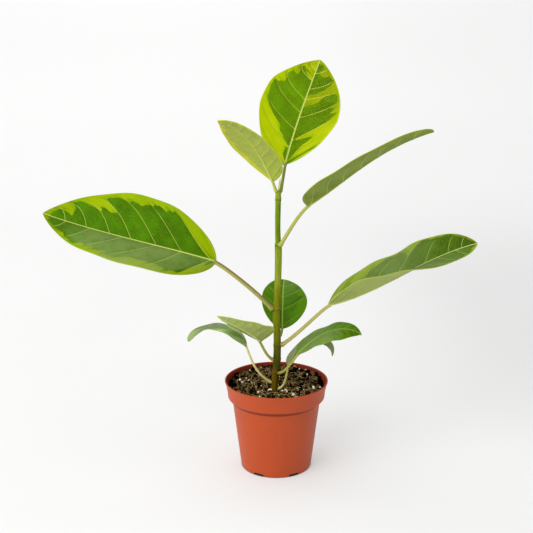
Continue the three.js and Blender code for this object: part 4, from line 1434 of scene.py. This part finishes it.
def leaf_look(leaf, settings):
    """Waxy blade: green heart and lime margin that meet in steps along the side veins, pale veins
    and midrib, a fine net between them, and a matt paler under face. The upper face also carries
    painted light and shade by place and a painted grey sheen."""
    board = Board(leaf["name"] + "_blade")
    phase, gap, heart, off = board.attributes("phase", "gap", "heart", "off")
    reach, run, under = board.attributes("across", "along", "under")
    tone, shade, bloom = board.attributes("tone", "shade", "bloom")
    place = board.place()

    # How far in the heart a point lies, with the edge wandering along the veins.
    streak = board.noise(board.vector(phase * 5, reach * 1.8, under), 1, 3, 0.62)
    ragged = board.noise(place, 420, 3, 0.6)
    wander = (streak - 0.5) * settings.streak * 2 + (ragged - 0.5) * 1.3
    green = (heart + wander).smooth(-0.28, 0.28)
    halo = (heart + wander * 2 + 2.2).smooth(-0.6, 1) * streak.smooth(0.42, 0.6)

    # Veins: how near the side veins, the lesser ones between them, the midrib and the net are.
    near = abs((phase + 0.5).fraction() - 0.5) * gap
    lesser = abs(phase.fraction() - 0.5) * gap
    ripple = (ragged - 0.5) * 0.25
    half_vein = settings.vein_width * 0.5
    vein = 1 - (near + ripple).smooth(half_vein * 0.35, half_vein * 1.15)
    vein = vein * (1 - reach.smooth(0.62, 0.93)) * (1 - run.smooth(0.93, 0.99))
    small = (1 - (lesser + ripple).smooth(0.06, 0.34)) * (1 - reach.smooth(0.2, 0.7)) * 0.08
    rib_half = leaf.get("rib_width", 1) * (1 - 0.78 * run)
    rib = 1 - (off - rib_half * 0.5).smooth(0, 0.5)
    sockets = {"Vector": place, "Scale": 480.0}
    net = board.node("ShaderNodeTexVoronoi", sockets, feature="DISTANCE_TO_EDGE")
    meshwork = 1 - net.smooth(0.02, 0.16)
    edge = reach.smooth(0.965, 0.99)

    cloud = board.noise(place, 55, 3)
    fine = board.noise(board.vector(phase * 26, reach * 4, 0), 1, 2, 0.5)
    dark, light = leaf.get("dark", DARK_GREEN), leaf.get("light", LIME)
    rib_colour = leaf.get("rib", PALE_RIB)
    between_both = tuple(0.55 * a + 0.45 * b for a, b in zip(dark, light))
    vein_colour = leaf.get("vein", tuple(0.7 * a + 0.3 * b for a, b in zip(rib_colour, light)))
    deep = board.layers(
        scaled(dark, 0.78),
        (cloud.smooth(0.3, 0.7), scaled(dark, 1.14)),
        (fine.smooth(0.5, 0.75) * 0.4, scaled(dark, 1.4)),
    )
    upper = board.layers(
        light,
        (cloud.smooth(0.35, 0.7), scaled(light, 0.82, 0.93, 1)),
        (halo * 0.8, between_both),
    )
    # Painted sheen: a grey veil laid on the upper face where it would reflect bright light.
    grey = bloom * (board.noise(place, 95, 4, 0.6).smooth(0.3, 0.62) * 0.5 + 0.62)
    # tone and shade brighten or darken the heart and the lime by place: partly the leaf's own tone,
    # partly painted light and shade.
    upper = board.layers(
        board.times(upper, shade),
        (green, board.times(deep, tone)),
        (grey, PAINTED_SHEEN_GREY),
        (meshwork * 0.16, light),
        (small, vein_colour),
        (vein * 0.84, vein_colour),
        (rib * 0.95, rib_colour),
        (edge * 0.7, scaled(light, 1.1)),
    )

    under_dark = leaf.get("under_dark", UNDER_GREEN)
    under_light = leaf.get("under_light", UNDER_LIME)
    under_rib = leaf.get("rib", UNDER_RIB)
    blotch = (cloud * 0.6 + fine * 0.4).smooth(0.4, 0.66) * leaf.get("blotch", 0.5)
    beneath = board.layers(
        under_light,
        (green * 0.85, under_dark),
        (blotch, scaled(under_dark, 0.74)),
        (meshwork * 0.3, scaled(under_light, 1.25)),
        (vein * 0.7 + small * 0.5, leaf.get("vein", under_rib)),
        (rib, under_rib),
        (edge * 0.3, scaled(under_light, 1.12)),
    )

    is_under = under.smooth(0.4, 0.6)
    colour = board.mix(is_under, upper, beneath)
    if "hole" in leaf:
        offsets = [c - at * MM for c, at in zip(board.axes(place), leaf["hole"])]
        away = sum(c**2 for c in offsets) ** 0.5
        colour = board.layers(
            colour,
            ((1 - away.smooth(0.0013, 0.0021)) * 0.6, rgb(96, 110, 40)),
            (1 - away.smooth(0.0007, 0.0012), rgb(236, 238, 232)),
        )
    sign = 1 - is_under * 2
    height = meshwork * -0.12 * sign - (vein * 0.5 + small * 0.4) * sign
    normal = board.bump(height + fine * 0.18 + ragged * 0.12, 0.00035, 0.55)
    rough = is_under * (settings.under_roughness - settings.roughness) + settings.roughness
    rough = rough + (ragged - 0.5) * 0.12
    return board.finish(colour, rough, normal, Specular_IOR_Level=leaf.get("gloss", 0.16))


def petiole_look(leaf):
    """Leaf stalk: pale below, browner on top, with fine lengthwise lines and small pale dots."""
    board = Board(leaf["name"] + "_stalk")
    place = board.place()
    top, run = board.attributes("top", "along")
    pale = leaf["stalk"]
    upside = leaf.get("stalk_top", scaled(pale, 0.8, 0.82, 0.6))
    lines = board.noise(board.vector(top * 5, run * 3, 0), 1, 3, 0.6)
    drift = board.noise(place, 120, 3)
    dots = board.noise(place, 1500, 2, 0.4).smooth(0.68, 0.76)
    joint = leaf.get("joint", 0.06)
    colour = board.layers(
        pale,
        ((top + (drift - 0.5) * 0.5).smooth(0.35, 0.8), upside),
        (lines.smooth(0.45, 0.75) * 0.35, scaled(pale, 0.72)),
        (dots * 0.35, scaled(pale, 1.4)),
        ((1 - run.smooth(0, 2 * joint)) * 0.5, rgb(134, 136, 38)),
        ((1 - run.smooth(0, joint)) * 0.85, rgb(106, 102, 18)),
    )
    normal = board.bump(lines + dots * 0.6, 0.00016, 0.5)
    return board.finish(colour, 0.48, normal, Specular_IOR_Level=0.35)


def build_leaf(leaf, settings):
    """Joins a blade and its stalk in one piece, whose corners carry the numbers that the two looks
    read: the blade its own, the stalk how far along it and how far up its side they lie."""
    points, quads, corner = blade_surface(leaf, settings)
    stalk_points, stalk_faces, run = petiole_surface(leaf)
    faces = [quads, *(part + len(points) for part in stalk_faces)]
    piece = add_mesh(
        leaf["name"] + "_grown",
        np.vstack([points, stalk_points]),
        faces,
        [leaf_look(leaf, settings), petiole_look(leaf)],
        [0] * len(quads) + [1] * sum(len(part) for part in stalk_faces),
    )
    stalk_run = np.append(np.repeat(run, PETIOLE_SIDES), [0, 1])
    side_top = np.cos(circle(PETIOLE_SIDES)) * 0.5 + 0.5
    stalk_top = np.append(np.tile(side_top, len(run)), [0.5, 0.5])
    index = np.concatenate([part.reshape(-1) for part in stalk_faces])
    for key, numbers in corner.items():
        tail = stalk_run[index] if key == "along" else np.zeros(len(index))
        add_values(piece, key, np.append(numbers, tail))
    add_values(piece, "top", np.append(np.zeros(quads.size), stalk_top[index]))
    settle(piece, [leaf["name"]])


class FIG_OT_leaves(bpy.types.Operator):
    """Grows the ten leaves, each a blade with its stalk."""

    bl_idname = "fig.leaves"
    bl_label = "Leaves"

    def execute(self, context):
        for leaf in LEAVES:
            build_leaf(leaf, context.scene.fig_leaf)
        return {"FINISHED"}


# --- Stage


def backdrop_surface(wall):
    """Floor, or the wall behind it: a straight section of floor, or a quarter round and an
    upright, carried sideways."""
    if wall:
        turn = np.linspace(0, np.pi / 2, 24)
        across, up = SWEEP_RADIUS * np.sin(turn), SWEEP_RADIUS * np.cos(turn)
        bend = np.stack([SWEEP_BEND + across, SWEEP_RADIUS - up], -1)
        section = np.vstack([bend, [(SWEEP_BEND + SWEEP_RADIUS, SWEEP_TOP)]])
    else:
        section = np.array([(SWEEP_FRONT, 0), (SWEEP_BEND, 0)])
    x = np.linspace(-SWEEP_SIDE, SWEEP_SIDE, 12)
    y, z = section.T[..., None] + 0 * x
    points = np.stack([x + 0 * y, y, z], -1).reshape(-1, 3)
    return points, [grid_quads(len(section), len(x))]


def backdrop_look(settings):
    """Pale sweep that glows a little: most at its bend, less to the right behind the plant and to
    the left near it, and not at all under the pot, where a painted shadow also darkens it."""
    board = Board("pale_backdrop")
    place = board.place()
    tone = board.noise(place, 1.4, 2).smooth(0.2, 0.8)
    across, depth, height = board.axes(place)
    wall = scaled(settings.backdrop, 1 - 0.85 * settings.glow)
    near = 1 - depth.smooth(0.2, 0.9)
    far = 1 - depth.smooth(0.5, 1.3) * 0.85
    dusk = across.smooth(0.05, 0.36) * depth.smooth(-0.1, 0.4) * far
    left = (across * -1).smooth(0, 0.3) * near
    bend = depth.smooth(0.8, 1.6) * (1 - depth.smooth(1.9, 2.2))
    beneath = 1 - ((across**2 + depth**2) ** 0.5).smooth(0.0345, 0.037)
    level = bend * 0.16 - dusk * 0.27 - left * 0.1 + 0.84
    colour = board.mix(tone, wall, scaled(wall, 0.992))
    colour = board.mix(height.smooth(0, 0.7), scaled(wall, 0.82), colour)
    # Painted shadow: the floor under the pot is darkened toward black.
    colour = board.mix(beneath * 0.85, colour, (0, 0, 0))
    glow = board.mix(level * (1 - beneath), (0, 0, 0), (1, 1, 1))
    return board.finish(
        colour, 0.9, Specular_IOR_Level=0.1, Emission_Color=glow, Emission_Strength=settings.glow
    )


def look_rotation(way):
    """Turns of an object whose -Z then points along a unit vector."""
    pitch = math.acos(max(-1, min(1, -way[2])))
    heading = math.atan2(-way[0], way[1]) if abs(way[2]) < 0.9999 else 0
    return (pitch, 0, heading)


def add_light(name, place, target, width, depth, power, glossy, diffuse):
    """Rectangular light at a place that faces a target."""
    lamp = bpy.data.lights.new(name, "AREA")
    lamp.shape = "RECTANGLE"
    lamp.size, lamp.size_y, lamp.energy = width, depth, power
    thing = bpy.data.objects.new(name, lamp)
    bpy.context.scene.collection.objects.link(thing)
    thing.location = place
    thing.rotation_euler = look_rotation(unit(np.subtract(target, place)))
    thing.visible_glossy = glossy
    thing.visible_diffuse = diffuse
    thing.visible_camera = False


class FIG_OT_stage(bpy.types.Operator):
    """Sets the pale sweep, the soft lights and the camera."""

    bl_idname = "fig.stage"
    bl_label = "Stage"

    def execute(self, context):
        scene = context.scene
        settings = scene.fig_stage
        look = backdrop_look(settings)
        for name, wall in (("pale_floor", False), ("pale_wall", True)):
            piece = add_mesh(name, *backdrop_surface(wall), [look])
            piece.visible_glossy = not wall
        for name, place, target, width, depth, key, glossy, diffuse in LIGHTS:
            add_light(name, place, target, width, depth, getattr(settings, key), glossy, diffuse)

        world = bpy.data.worlds.new("soft_surround")
        scene.world = world
        world.use_nodes = True
        shade = world.node_tree.nodes["Background"]
        shade.inputs["Color"].default_value = (1, 1, 1, 1)
        shade.inputs["Strength"].default_value = settings.sky
        world.cycles_visibility.glossy = False
        scene.view_settings.view_transform = "Standard"
        scene.view_settings.look = "None"

        lens = bpy.data.cameras.new("front_view")
        lens.sensor_width = SENSOR
        lens.lens = SENSOR * FOCAL_LENGTH / PICTURE_SIZE
        lens.clip_start, lens.clip_end = 0.05, 20
        eye = bpy.data.objects.new("front_view", lens)
        eye.location = CAMERA_PLACE
        eye.rotation_euler = (math.radians(CAMERA_PITCH), 0, 0)
        scene.collection.objects.link(eye)
        scene.camera = eye
        return {"FINISHED"}


class FIG_PT_plant(bpy.types.Panel):
    """Lists the parts of the plant and their settings."""

    bl_label = "Potted fig"
    bl_idname = "FIG_PT_plant"
    bl_space_type = "VIEW_3D"
    bl_region_type = "UI"
    bl_category = "Fig"

    def draw(self, context):
        for name, (group, operator) in PARTS.items():
            box = self.layout.box()
            box.operator(operator.bl_idname)
            for key in group.__annotations__:
                box.prop(getattr(context.scene, name), key)


PARTS = {
    "fig_stage": (StageSettings, FIG_OT_stage),
    "fig_pot": (PotSettings, FIG_OT_pot),
    "fig_soil": (SoilSettings, FIG_OT_mix),
    "fig_stem": (StemSettings, FIG_OT_stem),
    "fig_leaf": (LeafSettings, FIG_OT_leaves),
}
CLASSES = [cls for pair in PARTS.values() for cls in pair] + [FIG_PT_plant]


def register():
    for cls in CLASSES:
        bpy.utils.register_class(cls)
    for name, (group, _) in PARTS.items():
        setattr(bpy.types.Scene, name, PointerProperty(type=group))


def unregister():
    for name in PARTS:
        delattr(bpy.types.Scene, name)
    for cls in reversed(CLASSES):
        bpy.utils.unregister_class(cls)


def main():
    register()
    bpy.ops.fig.stage()
    bpy.ops.fig.pot()
    bpy.ops.fig.mix()
    bpy.ops.fig.stem()
    bpy.ops.fig.leaves()


if __name__ == "__main__":
    main()
